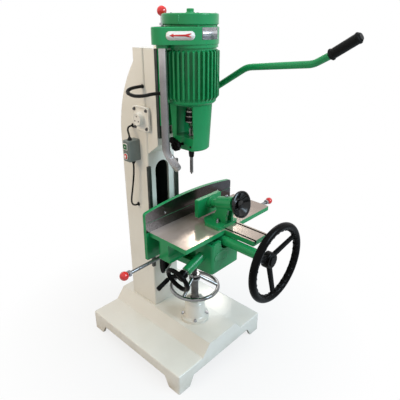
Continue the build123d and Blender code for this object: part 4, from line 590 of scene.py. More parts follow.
tree, shader = start_material("chuck_steel")
chuck_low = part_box("drill_chuck")[0][2]
bright = 0.0
for start, end in BRIGHT_BANDS:
    band = use(tree, "within", Axis=(0.0, 0.0, 1.0), Low=chuck_low + start, High=chuck_low + end)
    bright = combine(tree, "ADD", bright, band["Mask"])
black = use(tree, "shade_drift", Colour=rgba((40, 38, 37)), Deep=rgba((24, 22, 22)),
            Scale=60.0, Amount=0.8)
shiny = use(tree, "shade_drift", Colour=rgba((214, 206, 198)), Deep=rgba((150, 142, 136)),
            Scale=50.0, Amount=0.7)
feed(tree, shader.inputs["Base Color"], mix(tree, bright, black["Colour"], shiny["Colour"]))
set_gloss(tree, shader, scale=60.0, smooth=0.2, dull=0.38)
shader.inputs["Metallic"].default_value = 1.0
crossed = 0.0
for slant in (1.0, -1.0):
    wave = add(tree, "ShaderNodeTexWave", {"Scale": KNURL_SCALE, "Distortion": 0.0},
               wave_type="BANDS", bands_direction="DIAGONAL")
    leaning = add(tree, "ShaderNodeMapping", {"Scale": (1.0, 1.0, slant)})
    feed(tree, leaning.inputs["Vector"], object_place(tree))
    feed(tree, wave.inputs["Vector"], leaning.outputs["Vector"])
    crossed = combine(tree, "ADD", wave.outputs["Fac"], crossed)
sleeve = combine(tree, "SUBTRACT", 1.0, bright)
set_relief(tree, shader, combine(tree, "MULTIPLY", crossed, sleeve), strength=0.4,
           distance=0.0006)
print("chuck with", len(BRIGHT_BANDS), "bright bands")

# %% [markdown]
# Each solid came with the name of its slot, so most finishes find their solids by name. Five
# solids leave their slot's plain finish. The vise wheel is glossier and the chuck has bright bands,
# because one finish of their slots cannot look like all its pieces. The thrust sleeve gets a darker
# steel as painted shade, the chisel a lighter steel as painted highlight, and the column painted
# shade in its hollow.

# %% Put the finishes on the solids
# the sleeve's and the chisel's steels are painted shade and painted highlight; the column's paint
# has painted shade in its hollow
OWN_FINISH = {"thrust_sleeve": "shaded_sleeve_steel", "vise_handwheel": "dish_plastic",
              "hollow_chisel": "lit_chisel_steel", "column": "column_paint",
              "drill_chuck": "chuck_steel"}
for node in nodes.values():
    for place in node.material_slots:
        place.material = finishes[place.material.name.split(".")[0]]
for node_name, finish in OWN_FINISH.items():
    nodes[node_name].material_slots[0].material = finishes[finish]
print("finishes:", len(finishes), "of their own:", len(OWN_FINISH))

# %% [markdown]
# ## Cables
# Two thin cables join the switch box to the column, each a fixed length of rubber that hangs in
# easy bends. A tube could be skinned ring by ring, but a curve with a round bevel does the same
# from a few control points. Its smooth spline cuts inside the corners of the route, as rubber
# does.

# %% Draw the cables
MM = 0.001
CABLE_RADIUS = 4 * MM
UPPER_CABLE = [(-120, 133, 1035), (-120, 133, 1049), (-121, 140, 1062), (-114, 149, 1074),
               (-101, 155, 1080), (-85, 155, 1080)]
LOWER_CABLE = [(-110, 130, 922), (-110, 130, 894), (-113, 134, 846), (-117, 142, 792),
               (-120, 149, 752), (-120.5, 152, 724.5), (-113, 152, 711.5), (-100, 152, 704),
               (-85, 152, 704)]


def metres(place):
    return [value * MM for value in place]


def route_curve(name, route, radius):
    """Smooth open curve with the route's points as its control points."""
    data = bpy.data.curves.new(name, "CURVE")
    data.dimensions = "3D"
    data.bevel_depth = radius
    data.bevel_resolution = 6
    data.use_fill_caps = True
    data.resolution_u = 10
    spline = data.splines.new("NURBS")
    spline.points.add(len(route) - 1)
    for point, place in zip(spline.points, route):
        point.co = (*metres(place), 1.0)
    spline.order_u = 3
    spline.use_endpoint_u = True
    return place_object(name, data)


for node_name, route, length in (("switch_cable_upper", UPPER_CABLE, 0.076),
                                 ("switch_cable_lower", LOWER_CABLE, 0.243)):
    cable = route_curve(node_name.replace("switch_cable", "cable_jacket"), route, CABLE_RADIUS)
    cable.data.materials.append(finishes["cable_rubber"])
    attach(cable, "frame")
    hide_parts(node_name)
    start = metres(route[0])
    print(cable.name, "drawn as a curve,", round(length / MM), "mm long")

# %% [markdown]
# ## Hose
# A thicker hose takes the motor's wires into the column. It is ribbed, so a round bevel is not
# enough: rings of points stand along the route's own smooth curve and swell and shrink in turn.
# The first step reads that curve and walks along it in even steps.

# %% Walk along a route
MOTOR_HOSE = [(-88, 75, 1254), (-114, 75, 1254), (-142, 79, 1250), (-167, 66, 1243),
              (-175, 38, 1236), (-168, 6, 1232), (-152, -26, 1236), (-135.97, -50.69, 1244),
              (-110.37, -64.31, 1244)]
HOSE_STEP = 0.0009


def curve_points(route):
    """Points that Blender puts along the smooth curve of a route."""
    guide = route_curve("guide", route, 0.0)
    guide.data.resolution_u = 40
    ready = guide.evaluated_get(bpy.context.evaluated_depsgraph_get())
    mesh = bpy.data.meshes.new_from_object(ready)
    line = [vertex.co.copy() for vertex in mesh.vertices]
    bpy.data.objects.remove(guide)
    bpy.data.meshes.remove(mesh)
    return line


def evenly(line, step):
    """Walks along a line of points and gives points a fixed step apart, with both ends."""
    total = sum((b - a).length for a, b in zip(line, line[1:]))
    count = max(2, round(total / step))
    places = []
    walked = 0.0
    index = 0
    for number in range(count + 1):
        mark = total * number / count
        while index < len(line) - 2 and walked + (line[index + 1] - line[index]).length < mark:
            walked += (line[index + 1] - line[index]).length
            index += 1
        run = line[index + 1] - line[index]
        places.append(line[index] + run * min(1.0, (mark - walked) / run.length))
    return places


hose_line = evenly(curve_points(MOTOR_HOSE), HOSE_STEP)
print("hose followed in", len(hose_line), "steps")

# %% [markdown]
# A skin over rings is the one way of building that all later pieces share, so it is a function.
# Each ring of the hose stands square to the line. Its first direction is carried on from ring to
# ring, because one that is worked out afresh could turn suddenly and twist the skin.

# %% Skin rings into a tube
def join_rings(build, rings, closed=False):
    """Skins rings of points into a tube, with caps unless its ends meet."""
    pairs = list(zip(rings, rings[1:]))
    if closed:
        pairs.append((rings[-1], rings[0]))
    sides = len(rings[0])
    for first, second in pairs:
        for number in range(sides):
            after = (number + 1) % sides
            build.faces.new((first[number], first[after], second[after], second[number]))
    if not closed:
        build.faces.new(list(reversed(rings[0])))
        build.faces.new(rings[-1])


def tube_mesh(name, line, radii, sides):
    """Closed tube along a line of points with its own radius at each point."""
    mesh = bpy.data.meshes.new(name)
    build = bmesh.new()
    side = None
    rings = []
    for index, place in enumerate(line):
        ahead = line[min(index + 1, len(line) - 1)] - line[max(index - 1, 0)]
        ahead.normalize()
        if side is None:
            side = ahead.orthogonal()
        side = (side - ahead * side.dot(ahead)).normalized()
        other = ahead.cross(side)
        ring = []
        for number in range(sides):
            turn = 2 * pi * number / sides
            out = (side * cos(turn) + other * sin(turn)) * radii[index]
            ring.append(build.verts.new(place + out))
        rings.append(ring)
    join_rings(build, rings)
    for face in build.faces:
        face.smooth = len(face.verts) == 4
    build.normal_update()
    build.to_mesh(mesh)
    build.free()
    return place_object(name, mesh)


print("tubes can be skinned")

# %% [markdown]
# The hose joins the column to the head, and the head moves. Here it is one fixed tube, built in
# place.

# %% Build the ribbed hose
RIB_STEPS = 5
HOSE_RADIUS, RIB_HEIGHT = 6.6, 0.4

hose_radii = [(HOSE_RADIUS + RIB_HEIGHT * cos(2 * pi * number / RIB_STEPS)) * MM
              for number in range(len(hose_line))]
hose = tube_mesh("hose_jacket", hose_line, hose_radii, sides=18)
hose.data.materials.append(finishes["hose_rubber"])
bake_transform(hose)
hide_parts("motor_hose")
print("hose with", len(hose_line) // RIB_STEPS, "ribs")

# %% [markdown]
# ## Small pieces
# Bolts, nuts, threads and plates are too fine for the solids, so they are made here. Most of them
# are turned forms: rings of points along an axis, as a lathe would cut them. An outline may
# change a ring's reach round the axis, and then the same form is a hexagon, a square or a lobed
# knob.

# %% Turn a form about an axis
def seat(at, axis):
    """Matrix that stands a form's own Z on an axis at a place, given in millimetres."""
    turn = Vector((0.0, 0.0, 1.0)).rotation_difference(Vector(axis)).to_matrix().to_4x4()
    return Matrix.Translation(Vector(at) * MM) @ turn


def round_point(build, place, reach, angle, along):
    """Adds a point at a reach and an angle about a form's axis."""
    return build.verts.new(place @ (Vector((reach * cos(angle), reach * sin(angle), along)) * MM))


def turned_form(build, place, profile, sides=24, outline=None, ring_shaped=False):
    """Closed form from (radius, along) steps; an outline gives the reach at each angle."""
    rings = []
    for radius, along in profile:
        ring = []
        for number in range(sides):
            angle = 2 * pi * number / sides
            reach = outline(radius, angle) if outline else radius
            ring.append(round_point(build, place, reach, angle, along))
        rings.append(ring)
    join_rings(build, rings, ring_shaped)


print("forms can be turned")

# %% [markdown]
# A built form becomes a piece when it has a mesh, a finish and a body of the machine to move
# with. Faces that meet at more than a fixed angle keep a crisp edge, and the others are shaded
# smooth.

# %% Keep a form as a piece
CRISP = radians(35)


def keep(name, build, body, slot, finish=None):
    """Turns a built form into a piece with crisp edges that rides on a body."""
    mesh = bpy.data.meshes.new(name)
    build.normal_update()
    build.to_mesh(mesh)
    build.free()
    mesh.materials.append(finishes[finish or slot])
    mesh.shade_smooth()
    mesh.set_sharp_from_angle(angle=CRISP)
    piece = place_object(name, mesh)
    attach(piece, body)
    return piece


def turned_piece(name, body, slot, place, profile, finish=None, **form):
    """Piece that is a single turned form."""
    build = bmesh.new()
    turned_form(build, place, profile, **form)
    return keep(name, build, body, slot, finish)


print("forms can be kept as pieces")

# %% [markdown]
# Three outlines serve most pieces. A hexagon is cut by flats, and a smaller limit rounds it off,
# as the cone on a real bolt head does. A square gets round corners from a high power, and an oval
# is a circle with two half axes.

# %% Outlines
CORNER_POWER = 9


def six_sided(across):
    """Outline of a nut or bolt head: a hexagon, rounded off where its limit is smaller."""
    def reach(limit, angle):
        return min(limit, across / 2 / cos(angle % (pi / 3) - pi / 6))
    return reach


def rounded_square(limit, angle):
    """Reach of a square with round corners; its limit is half its side."""
    corner = abs(cos(angle)) ** CORNER_POWER + abs(sin(angle)) ** CORNER_POWER
    return limit / corner ** (1 / CORNER_POWER)


def oval(wide, tall):
    """Outline of an oval with these half axes, at the scale of each step's limit."""
    def reach(limit, angle):
        return limit * wide * tall / hypot(tall * cos(angle), wide * sin(angle))
    return reach


print("hexagon, rounded square and oval ready")

# %% [markdown]
# A hexagon bolt has a washer under its head. A socket screw is a plain round head with a hexagon
# sunk into it. A dome screw is what holds thin covers and boxes. All start a little below the
# face that they hold, so that no gap shows. Sizes follow from the width across the flats or the
# head's radius, as in a table of standard screws.

# %% Bolts and screws as functions
SUNK = -0.4


def add_bolt(build, at, axis, across, height):
    place = seat(at, axis)
    disc = 0.68 * across
    thick = 0.12 * across
    turned_form(build, place, [(disc, SUNK), (disc, thick - 0.3), (disc - 0.3, thick)])
    corner = across / sqrt(3)
    top = thick + height
    turned_form(build, place, [(corner, thick - 0.2), (corner, top - 0.2 * height),
                               (0.46 * across, top)], outline=six_sided(across))


def add_socket_screw(build, at, axis, radius, height):
    key = six_sided(1.1 * radius)
    rim = 0.69 * radius

    def reach(limit, angle):
        return key(limit, angle) if limit <= 0.7 * radius else limit

    turned_form(build, seat(at, axis), [(radius, SUNK), (radius, 0.85 * height),
                                        (0.9 * radius, height), (rim, height),
                                        (rim, 0.3 * height)], outline=reach)


def add_dome_screw(build, at, axis, radius, height):
    steps = [(radius * cos(turn), height * sin(turn)) for turn in (0.0, 0.4, 0.8, 1.2)]
    turned_form(build, seat(at, axis), [(radius, SUNK)] + steps, sides=16)


print("bolt, socket screw and dome screw ready")

# %% [markdown]
# A thread is a turned form whose reach rises and falls along a helix. A screw modifier would
# leave open ends, while rings with caps give a closed bar. The tooth is a wave with its top and
# bottom cut flat, as a real thread has.

# %% A thread as a function
def add_thread(build, at, axis, length, root, crest, pitch, starts=1, sides=16, steps=6):
    """Thread with its own root and crest radius; more starts give a steeper helix."""
    place = seat(at, axis)
    rings = []
    for step in range(round(length / pitch * steps) + 1):
        along = step * pitch / steps
        ring = []
        for number in range(sides):
            phase = (along / pitch - starts * number / sides) % 1.0
            rise = min(1.0, max(0.0, 1.4 - abs(3.6 * phase - 1.8)))
            reach = root + (crest - root) * rise
            ring.append(round_point(build, place, reach, 2 * pi * number / sides, along))
        rings.append(ring)
    join_rings(build, rings)


print("thread ready")

# %% [markdown]
# ## Fasteners
# The pedestal is bolted to the base, the two bearings to the column, the keepers to the knee and
# the vise to the table's slots. Each bolt could be an object of its own, but bolts of one place
# never move apart, so they are built into one piece that rides on what they hold.

# %% Bolt the castings together
LEFT, RIGHT, BACK, UP = (-1, 0, 0), (1, 0, 0), (0, 1, 0), (0, 0, 1)
FOUR_CORNERS, THREE_ROUND = (45, 135, 225, 315), (90, 210, 330)
SHAFT = (0.0, 88.5, 1120.0)


def around(centre, radius, angles, axis):
    """Places on a circle about an axis that is X or Z, for the angles given in degrees."""
    places = []
    for angle in angles:
        side, up = radius * cos(radians(angle)), radius * sin(radians(angle))
        shift = (side, up, 0.0) if axis == "Z" else (0.0, side, up)
        places.append(Vector(centre) + Vector(shift))
    return places


# piece, body, slot, places, axis, width across the flats, height of the head
bolt_sets = [
    ("pedestal_bolts", "frame", "bright_steel",
     around((0, -137, 171), 59, FOUR_CORNERS, "Z"), UP, 13, 8),
    ("plate_bolts", "frame", "gear_steel",
     around((-88, *SHAFT[1:]), 54, FOUR_CORNERS, "X"), LEFT, 11, 6),
    ("flange_bolts", "frame", "bright_steel",
     around((88.8, *SHAFT[1:]), 39.5, THREE_ROUND, "X"), RIGHT, 10, 6),
    ("keeper_bolts", "knee", "bright_steel",
     [(x, 78.3, z) for x in (-96, 96) for z in (555, 605, 655)], BACK, 13, 8),
    ("vise_nuts", "table", "bright_steel", [(18, -258, 714), (88, -258, 714)], UP, 13, 9),
]
for name, body, slot, places, axis, across, height in bolt_sets:
    build = bmesh.new()
    for place in places:
        add_bolt(build, place, axis, across, height)
        if name == "vise_nuts":
            add_thread(build, place, axis, length=17, root=3.6, crest=4.1, pitch=1.5)
    keep(name, build, body, slot)
    print(name, len(places))

# %% [markdown]
# The spring cap carries three socket screws, the lower housing a set screw over the chisel bush,
# the vise boss a pinch screw on its ram, and the fence two flat screws. The vise leans back a
# little, so its screw stands on a leaning axis.

# %% Add the socket screws
VISE_LEAN = radians(14)
VISE_UP = Vector((0.0, sin(VISE_LEAN), cos(VISE_LEAN)))
VISE_ALONG = Vector((0.0, cos(VISE_LEAN), -sin(VISE_LEAN)))
VISE_AT = Vector((53.0, -275.0, 795.0))
FRONT = (0, -1, 0)

build = bmesh.new()
for place in around((-110, *SHAFT[1:]), 13, THREE_ROUND, "X"):
    add_socket_screw(build, place, LEFT, radius=2.6, height=1.4)
keep("spring_cap_screws", build, "frame", "gear_steel", "black_oxide")

build = bmesh.new()
add_socket_screw(build, (-48.4, -164.8, 1039.0), (-1, 0, -0.04), radius=5.0, height=1.2)
keep("bush_set_screw", build, "head", "gear_steel", "black_oxide")

build = bmesh.new()
add_socket_screw(build, VISE_AT - VISE_ALONG * 8 + VISE_UP * 29.6, VISE_UP, radius=6.0,
                 height=7.0)
for x in (-131.4, 204.3):
    add_dome_screw(build, (x, -95, 757.0), FRONT, radius=4.5, height=0.9)
keep("fence_and_boss_screws", build, "table", "bright_steel")
print("screws on the cap, bush, boss and fence")

# %% [markdown]
# The fan cover and the switch box are held by dome screws. The cover is round with a flat at its
# back, so a screw that would fall on the flat moves forward to it.

# %% Add the dome screws
SPINDLE_Y = -123.0
COVER_FLAT_Y = -34.0
COVER_CIRCLE = 95

cover_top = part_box("fan_cover")[1][2] / MM
build = bmesh.new()
for turn in range(6):
    angle = radians(60 * turn)
    y = min(SPINDLE_Y + COVER_CIRCLE * sin(angle), COVER_FLAT_Y)
    add_dome_screw(build, (COVER_CIRCLE * cos(angle), y, cover_top), UP, radius=4.5, height=2.2)
keep("cover_screws", build, "head", "bright_steel")

build = bmesh.new()
for y in (122.5, 152.5):
    for z in (938.5, 1018.5):
        add_dome_screw(build, (-140, y, z), LEFT, radius=2.6, height=1.2)
keep("switch_box_screws", build, "frame", "bright_steel")
print("screws on the cover and the switch box")

# %% [markdown]
# ## Bearing plate
# The lever's shaft ends on the left in a square cast plate with a raised border and a round
# spring cap. Plate and cap are one casting. A single profile makes both, square where it is wide
# and round where it is narrow, and this finer form takes the place of the plain solid.

# %% Shape the bearing plate
CAP_LIMIT = 40
PLATE_PROFILE = [(52, 0.0), (52, 7.5), (50.5, 9.5), (46.5, 9.5), (45.5, 8.0), (33, 8.0), (29, 10.0),
                 (27, 14.0), (26.5, 29.5), (25, 31.5), (20.5, 31.5), (19.5, 30.0), (4.0, 30.0)]


def plate_outline(limit, angle):
    return rounded_square(limit, angle) if limit > CAP_LIMIT else limit


plate = turned_piece("bearing_casting", "frame", "bearing_paint", seat((-80, *SHAFT[1:]), LEFT),
                     PLATE_PROFILE, sides=72, outline=plate_outline)
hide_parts("bearing_plate")
print("bearing plate with", len(plate.data.polygons), "faces")

# %% [markdown]
# ## Glands
# The cables and the hose pass through glands, which hold them and keep dust out: a hexagon below
# and a tapered nut above. All five are one piece, because none of them moves.

# %% Shape the glands
def add_gland(build, at, axis, radius, height):
    place = seat(at, axis)
    turned_form(build, place, [(radius + 2.2, -0.3), (radius + 2.2, 0.36 * height),
                               (radius + 1.2, 0.44 * height)], outline=six_sided(2 * radius + 2.4))
    turned_form(build, place, [(radius, 0.4 * height), (radius, 0.62 * height),
                               (radius - 1.6, 0.95 * height), (0.55 * radius, 1.5 * height),
                               (0.5 * radius, 1.55 * height)], sides=28)


box_low, box_high = (corner[2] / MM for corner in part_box("switch_box"))
build = bmesh.new()
for at, axis, radius, height in (((-120, 133, box_high), UP, 9.0, 9.0),
                                 ((-110, 130, box_low), (0, 0, -1), 9.0, 9.0),
                                 ((-80, 155, 1080), LEFT, 8.0, 5.0),
                                 ((-80, 152, 704), LEFT, 8.0, 5.0),
                                 ((-80, 75, 1254), LEFT, 6.6, 6.0)):
    add_gland(build, at, axis, radius, height)
glands = keep("cable_nuts", build, "frame", "gland_plastic")
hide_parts("cable_glands")
print("five glands")

# %% [markdown]
# ## Chisel shank
# In the window of the housing the chisel's bright shank rises out of its bush. It is a tube with
# a slot that lets the chips out. A slot could be cut from a whole tube, but a cut can leave
# ragged faces, so the open ring is drawn once and raised. A black collar holds the chisel from
# below.

# %% Add the shank and the collar
def add_open_tube(build, at, outer, inner, low, high, slot_at, slot_half):
    """Upright tube with one slot, given by its middle and half angle in degrees."""
    steps = 28
    span = 2 * (180 - slot_half)
    angles = [radians(slot_at + slot_half + span * number / steps) for number in range(steps + 1)]
    section = [(outer, angle) for angle in angles] + [(inner, angle) for angle in reversed(angles)]
    rings = []
    for height in (low, high):
        spots = [Vector((reach * cos(angle), reach * sin(angle), height))
                 for reach, angle in section]
        rings.append([build.verts.new((Vector(at) + spot) * MM) for spot in spots])
    bottom, top = rings
    count = len(section)
    for number in range(count):
        after = (number + 1) % count
        build.faces.new((bottom[number], bottom[after], top[after], top[number]))
    for number in range(steps):
        far = count - 1 - number
        build.faces.new((bottom[number + 1], bottom[number], bottom[far], bottom[far - 1]))
        build.faces.new((top[number], top[number + 1], top[far - 1], top[far]))


SPINDLE = (0.0, SPINDLE_Y, 0.0)
COLLAR_TOP = 1022.3
build = bmesh.new()
add_open_tube(build, SPINDLE, outer=9.5, inner=5.5, low=1072.0, high=1099.0, slot_at=218.0,
              slot_half=20.0)
# the shank's lighter steel is painted light in the shaded housing
keep("chisel_shank", build, "head", "bright_steel", "lit_shank_steel")
turned_piece("chisel_collar", "head", "tool_steel", seat((0, SPINDLE_Y, COLLAR_TOP), (0, 0, -1)),
             [(11.6, 0.0), (11.6, 31.0), (10.8, 33.0), (10.8, 38.0), (9.2, 43.0)], "black_oxide",
             sides=32)
print("shank and collar in the housing")

# %% [markdown]
# Above the shank three jaws stand out of the chuck's nose and hold the auger. They lean inwards,
# so each is a tapered pin on its own leaning axis.

# %% Add the chuck jaws
JAW_LEAN = -0.28
JAW_CIRCLE = 8.2
NOSE_Z = 1120.0
build = bmesh.new()
for turn in (30, 150, 270):
    out = Vector((cos(radians(turn)), sin(radians(turn)), 0.0))
    at = Vector(SPINDLE) + out * JAW_CIRCLE + Vector((0.0, 0.0, NOSE_Z))
    turned_form(build, seat(at, (JAW_LEAN * out.x, JAW_LEAN * out.y, -1.0)),
                [(3.6, 0.0), (3.4, 9.0), (2.6, 15.0), (1.8, 17.0)], sides=12)
keep("chuck_jaws", build, "spindle", "tool_steel")
print("three jaws")

# %% [markdown]
# ## Clamp knobs
# Two hand screws hold the chisel and its bush. Their moulded heads are round with shallow finger
# lobes. A star cut with straight walls would look like a gear, so the head is a turned form whose
# outline swells and dips round the axis, while its stem stays plain.

# %% Turn the clamp knobs
LOBES = 8
LOBE_DIP = 0.13
STEM_LIMIT = 11.0


def lobed(limit, angle):
    """Reach of a head with finger lobes; stems and hubs under the limit stay round."""
    dip = LOBE_DIP if limit > STEM_LIMIT else 0.0
    return limit * (1.0 - dip * (0.5 - 0.5 * cos(LOBES * angle)) ** 1.6)


def turn_knob(name, body, node, at, profile):
    knob = turned_piece(name, body, "black_plastic", seat(at, LEFT), profile, sides=9 * LOBES,
                        outline=lobed)
    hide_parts(node)


turn_knob("clamp_grip", "chisel_clamp", "chisel_clamp_knob", (-21, -123, 1046),
          [(6.0, 0.0), (6.0, 50.9), (10.0, 50.9), (10.0, 54.4), (19.0, 55.4), (22.0, 58.4),
           (22.6, 65.0), (22.0, 72.0), (19.5, 75.6), (15.0, 76.6), (8.0, 75.4), (0.8, 75.2)])
turn_knob("rear_grip", "rear_clamp", "rear_clamp_knob", (-29.2, -78, 1054),
          [(6.0, 0.0), (6.0, 24.0), (7.5, 24.0), (7.5, 27.6), (11.5, 28.4), (14.0, 30.0),
           (14.4, 35.0), (14.0, 40.0), (12.0, 42.4), (9.0, 42.8), (0.6, 42.2)])
print("knobs with", LOBES, "lobes")

# %% [markdown]
# ## Blank pad on the knee
# Castings like this carry a raised pad on the front of the knee. Here it is a plain oval with a
# soft rim. Above it a square plug closes the hole that the casting's core left. Neither moves on
# the knee, so they are one piece in its paint.

# %% Raise the pad and close the core hole
build = bmesh.new()
turned_form(build, seat((-31, -321.5, 597), FRONT),
            [(1.0, 0.0), (1.0, 1.2), (0.97, 2.0), (0.92, 2.3), (0.88, 1.5)], sides=64,
            outline=oval(43, 25))
turned_form(build, seat((-52, -315.0, 632), FRONT), [(13.9, 0.0), (13.9, 6.4), (13.2, 7.1)],
            sides=64, outline=rounded_square)
pad = keep("knee_pad", build, "knee", "green_paint")
print("pad", [round(value / MM) for value in pad.dimensions])

# %% [markdown]
# ## Threads
# The table's stop rod is threaded from end to end, and so is the rod of the depth stop. Ridges
# laid on their plain bars are enough. The elevating screw is a two start thread that runs inside
# its nut, so there a threaded bar of the same outer size takes the plain bar's place.

# %% Thread the rods
STOP_THREAD = {"root": 5.2, "crest": 5.95, "pitch": 3.0}

build = bmesh.new()
add_thread(build, (-365.5, -138, 590), RIGHT, length=926, root=6.7, crest=7.6, pitch=5.0, sides=14,
           steps=5)
keep("stop_rod_thread", build, "saddle", "bright_steel", "rod_steel")

build = bmesh.new()
add_thread(build, (-33, -6, 1399), UP, length=81, **STOP_THREAD)
add_thread(build, (-33, -6, 1491), UP, length=21, **STOP_THREAD)
keep("depth_stop_thread", build, "head", "bright_steel")

screw_low, screw_high = (corner[2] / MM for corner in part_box("elevating_screw"))
build = bmesh.new()
add_thread(build, (0, -137, screw_low), UP, length=screw_high - screw_low, root=10.4, crest=11.97,
           pitch=4.0, starts=2, sides=20)
screw = keep("elevating_thread", build, "knee", "bright_steel", "tool_steel")
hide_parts("elevating_screw")
print("elevating thread", round(screw_high - screw_low), "mm long")

# %% [markdown]
# ## Air nozzle
# The air pipe ends in a short fluted nozzle that points at the chisel. It is a sleeve over the
# last straight run of the pipe, and its outline rises and falls round the axis, so that the
# flutes run along it. A bump would give the shading, but not the fluted rim.

# %% Flute the end of the air pipe
FLUTES, FLUTE_RISE = 16, 0.55
PIPE_CORNER = Vector((-127.0, -108.0, 1025.0))
PIPE_END = Vector((-78.0, -121.0, 944.0))
SLEEVE_FROM, SLEEVE_SHORT = 26, 3


def fluted(limit, angle):
    return limit + FLUTE_RISE * cos(FLUTES * angle)


pipe_run = (PIPE_END - PIPE_CORNER).normalized()
sleeve_length = (PIPE_END - PIPE_CORNER).length - SLEEVE_FROM - SLEEVE_SHORT
turned_piece("air_nozzle", "head", "galvanised",
             seat(PIPE_CORNER + pipe_run * SLEEVE_FROM, pipe_run),
             [(15.3, 0.0), (16.2, 2.0), (16.2, sleeve_length - 2), (15.4, sleeve_length)], sides=96,
             outline=fluted)
print("nozzle", round(sleeve_length), "mm long")

# %% [markdown]
# ## Signs on the blower
# A white oval with a plain red arrow shows which way the spindle turns, and a bare metal plate
# sits beside it. Both are sheets that wrap round the blower ring: first along its flat side, then
# round its drum. A flat sheet could be shrunk onto the ring, but here the ring's side is known
# exactly, so each point of a sheet is worked out from the distance along it.

# %% Follow the side of the blower ring
DRUM_AT, DRUM_RADIUS = Vector((0.0, SPINDLE_Y)), 107.0
OUTLET_AT, OUTLET_RADIUS = Vector((-127.0, -108.0)), 39.0

between = OUTLET_AT - DRUM_AT
facing = atan2(between.y, between.x) + acos((DRUM_RADIUS - OUTLET_RADIUS) / between.length)
outward = Vector((cos(facing), sin(facing)))
drum_edge = DRUM_AT + outward * DRUM_RADIUS
outlet_edge = OUTLET_AT + outward * OUTLET_RADIUS


def ring_side(along, proud):
    """Point on the ring's side, measured in millimetres from where the flat meets the drum."""
    if along < 0:
        return drum_edge + (outlet_edge - drum_edge).normalized() * -along + outward * proud
    angle = facing + along / DRUM_RADIUS
    return DRUM_AT + Vector((cos(angle), sin(angle))) * (DRUM_RADIUS + proud)


print("flat side of the ring", round((outlet_edge - drum_edge).length), "mm long")

# %% [markdown]
# A sheet is built from narrow upright strips, above and below its middle line, so that it bends
# with the ring. A solidify modifier then gives it the thickness of a sticker.

# %% Wrap a sheet round the ring
SHEET_THICK = 0.4 * MM
SAME_POINT = 0.02 * MM


def wrapped(build, columns, middle, proud):
    """Strips on the ring's side; each column is (along, inner, outer) about a middle height."""
    for sign in (1, -1):
        pairs = []
        for along, inner, outer in columns:
            spot = ring_side(along, proud)
            pairs.append([build.verts.new(Vector((spot.x, spot.y, middle + sign * height)) * MM)
                          for height in (inner, outer)])
        for first, second in zip(pairs, pairs[1:]):
            corners = [first[0], second[0], second[1], first[1]]
            build.faces.new(corners if sign > 0 else list(reversed(corners)))
    bmesh.ops.remove_doubles(build, verts=build.verts, dist=SAME_POINT)


def thick_sheet(name, columns, middle, proud, finish):
    build = bmesh.new()
    wrapped(build, columns, middle, proud)
    sheet = keep(name, build, "head", "green_paint", finish)
    shell = sheet.modifiers.new("thickness", "SOLIDIFY")
    shell.thickness = SHEET_THICK
    shell.offset = 0.0


print("sheets can be wrapped")

# %% [markdown]
# The oval's strips follow two half circles and the straight between them. The arrow has a sharp
# tip and a notched tail. Its strips stand a hair prouder than the oval's, so that the two do not
# flicker through each other. Four rivets hold the plate.

# %% Lay the oval, the arrow and the plate
OVAL_STRIPS = 60
# share of the length, inner and outer height
ARROW_MARKS = [(0.0, 0.0, 0.05), (0.1, 0.0, 3.4), (0.19, 0.0, 6.2), (0.2, 0.0, 2.6),
               (0.5, 0.0, 3.0), (0.74, 0.0, 3.4), (0.82, 0.0, 5.0), (0.88, 0.3, 6.0),
               (1.0, 4.6, 6.4)]


def oval_columns(left, right, half):
    columns = []
    for number in range(OVAL_STRIPS + 1):
        along = left + (right - left) * number / OVAL_STRIPS
        inset = max(0.0, half - min(along - left, right - along))
        columns.append((along, 0.0, sqrt(max(0.0, half * half - inset * inset)) + 0.01))
    return columns


def arrow_columns(tip, tail):
    return [(tip + (tail - tip) * share, inner, outer) for share, inner, outer in ARROW_MARKS]


plate_columns = [(30.0 + 3.0 * number, 0.0, 20.0) for number in range(27)]
oval_sheet = oval_columns(left=-98.0, right=4.0, half=14.5)
thick_sheet("turning_oval", oval_sheet, middle=1451.0, proud=0.4, finish="white_vinyl")
arrow_sheet = arrow_columns(tip=-86.0, tail=-9.0)
thick_sheet("turning_arrow", arrow_sheet, middle=1451.5, proud=0.75, finish="arrow_red")
thick_sheet("metal_plate", plate_columns, middle=1457.0, proud=0.5, finish="plate_metal")
build = bmesh.new()
for along in (34.0, 104.0):
    for height in (1441.0, 1473.0):
        spot = ring_side(along, 0.7)
        out = (spot - DRUM_AT).normalized()
        add_dome_screw(build, (spot.x, spot.y, height), (out.x, out.y, 0.0), radius=1.8,
                       height=0.9)
keep("plate_rivets", build, "head", "bright_steel")
print("oval, arrow and plate laid on the ring")

# %% [markdown]
# The fan cover is rolled from sheet, and its joint shows as an upright bead on its left side. A
# slim turned rod, half sunk into the cover, is enough for it.

# %% Add the bead of the fan cover
BEAD_ANGLE = radians(201.5)
COVER_REACH = 104.6
bead_at = (COVER_REACH * cos(BEAD_ANGLE), SPINDLE_Y + COVER_REACH * sin(BEAD_ANGLE),
           cover_top - 35.0)
turned_piece("cover_bead", "head", "green_paint", seat(bead_at, UP),
             [(0.8, 0.0), (1.9, 1.5), (1.9, 28.0), (0.8, 30.0)], sides=12)
print("bead at", [round(value) for value in bead_at])

# %% [markdown]
# ## Steering wheel
# The steering wheel has finger bumps on the inner side of its rim and a stepped cap on its hub.
# The bumps could be separate balls, but on a moulded rim they run into each other. So they are
# one ring whose thickness swells in turn, a little smaller round than the rim.

# %% Bump the rim and cap the hub
STEER_Z = 654.6


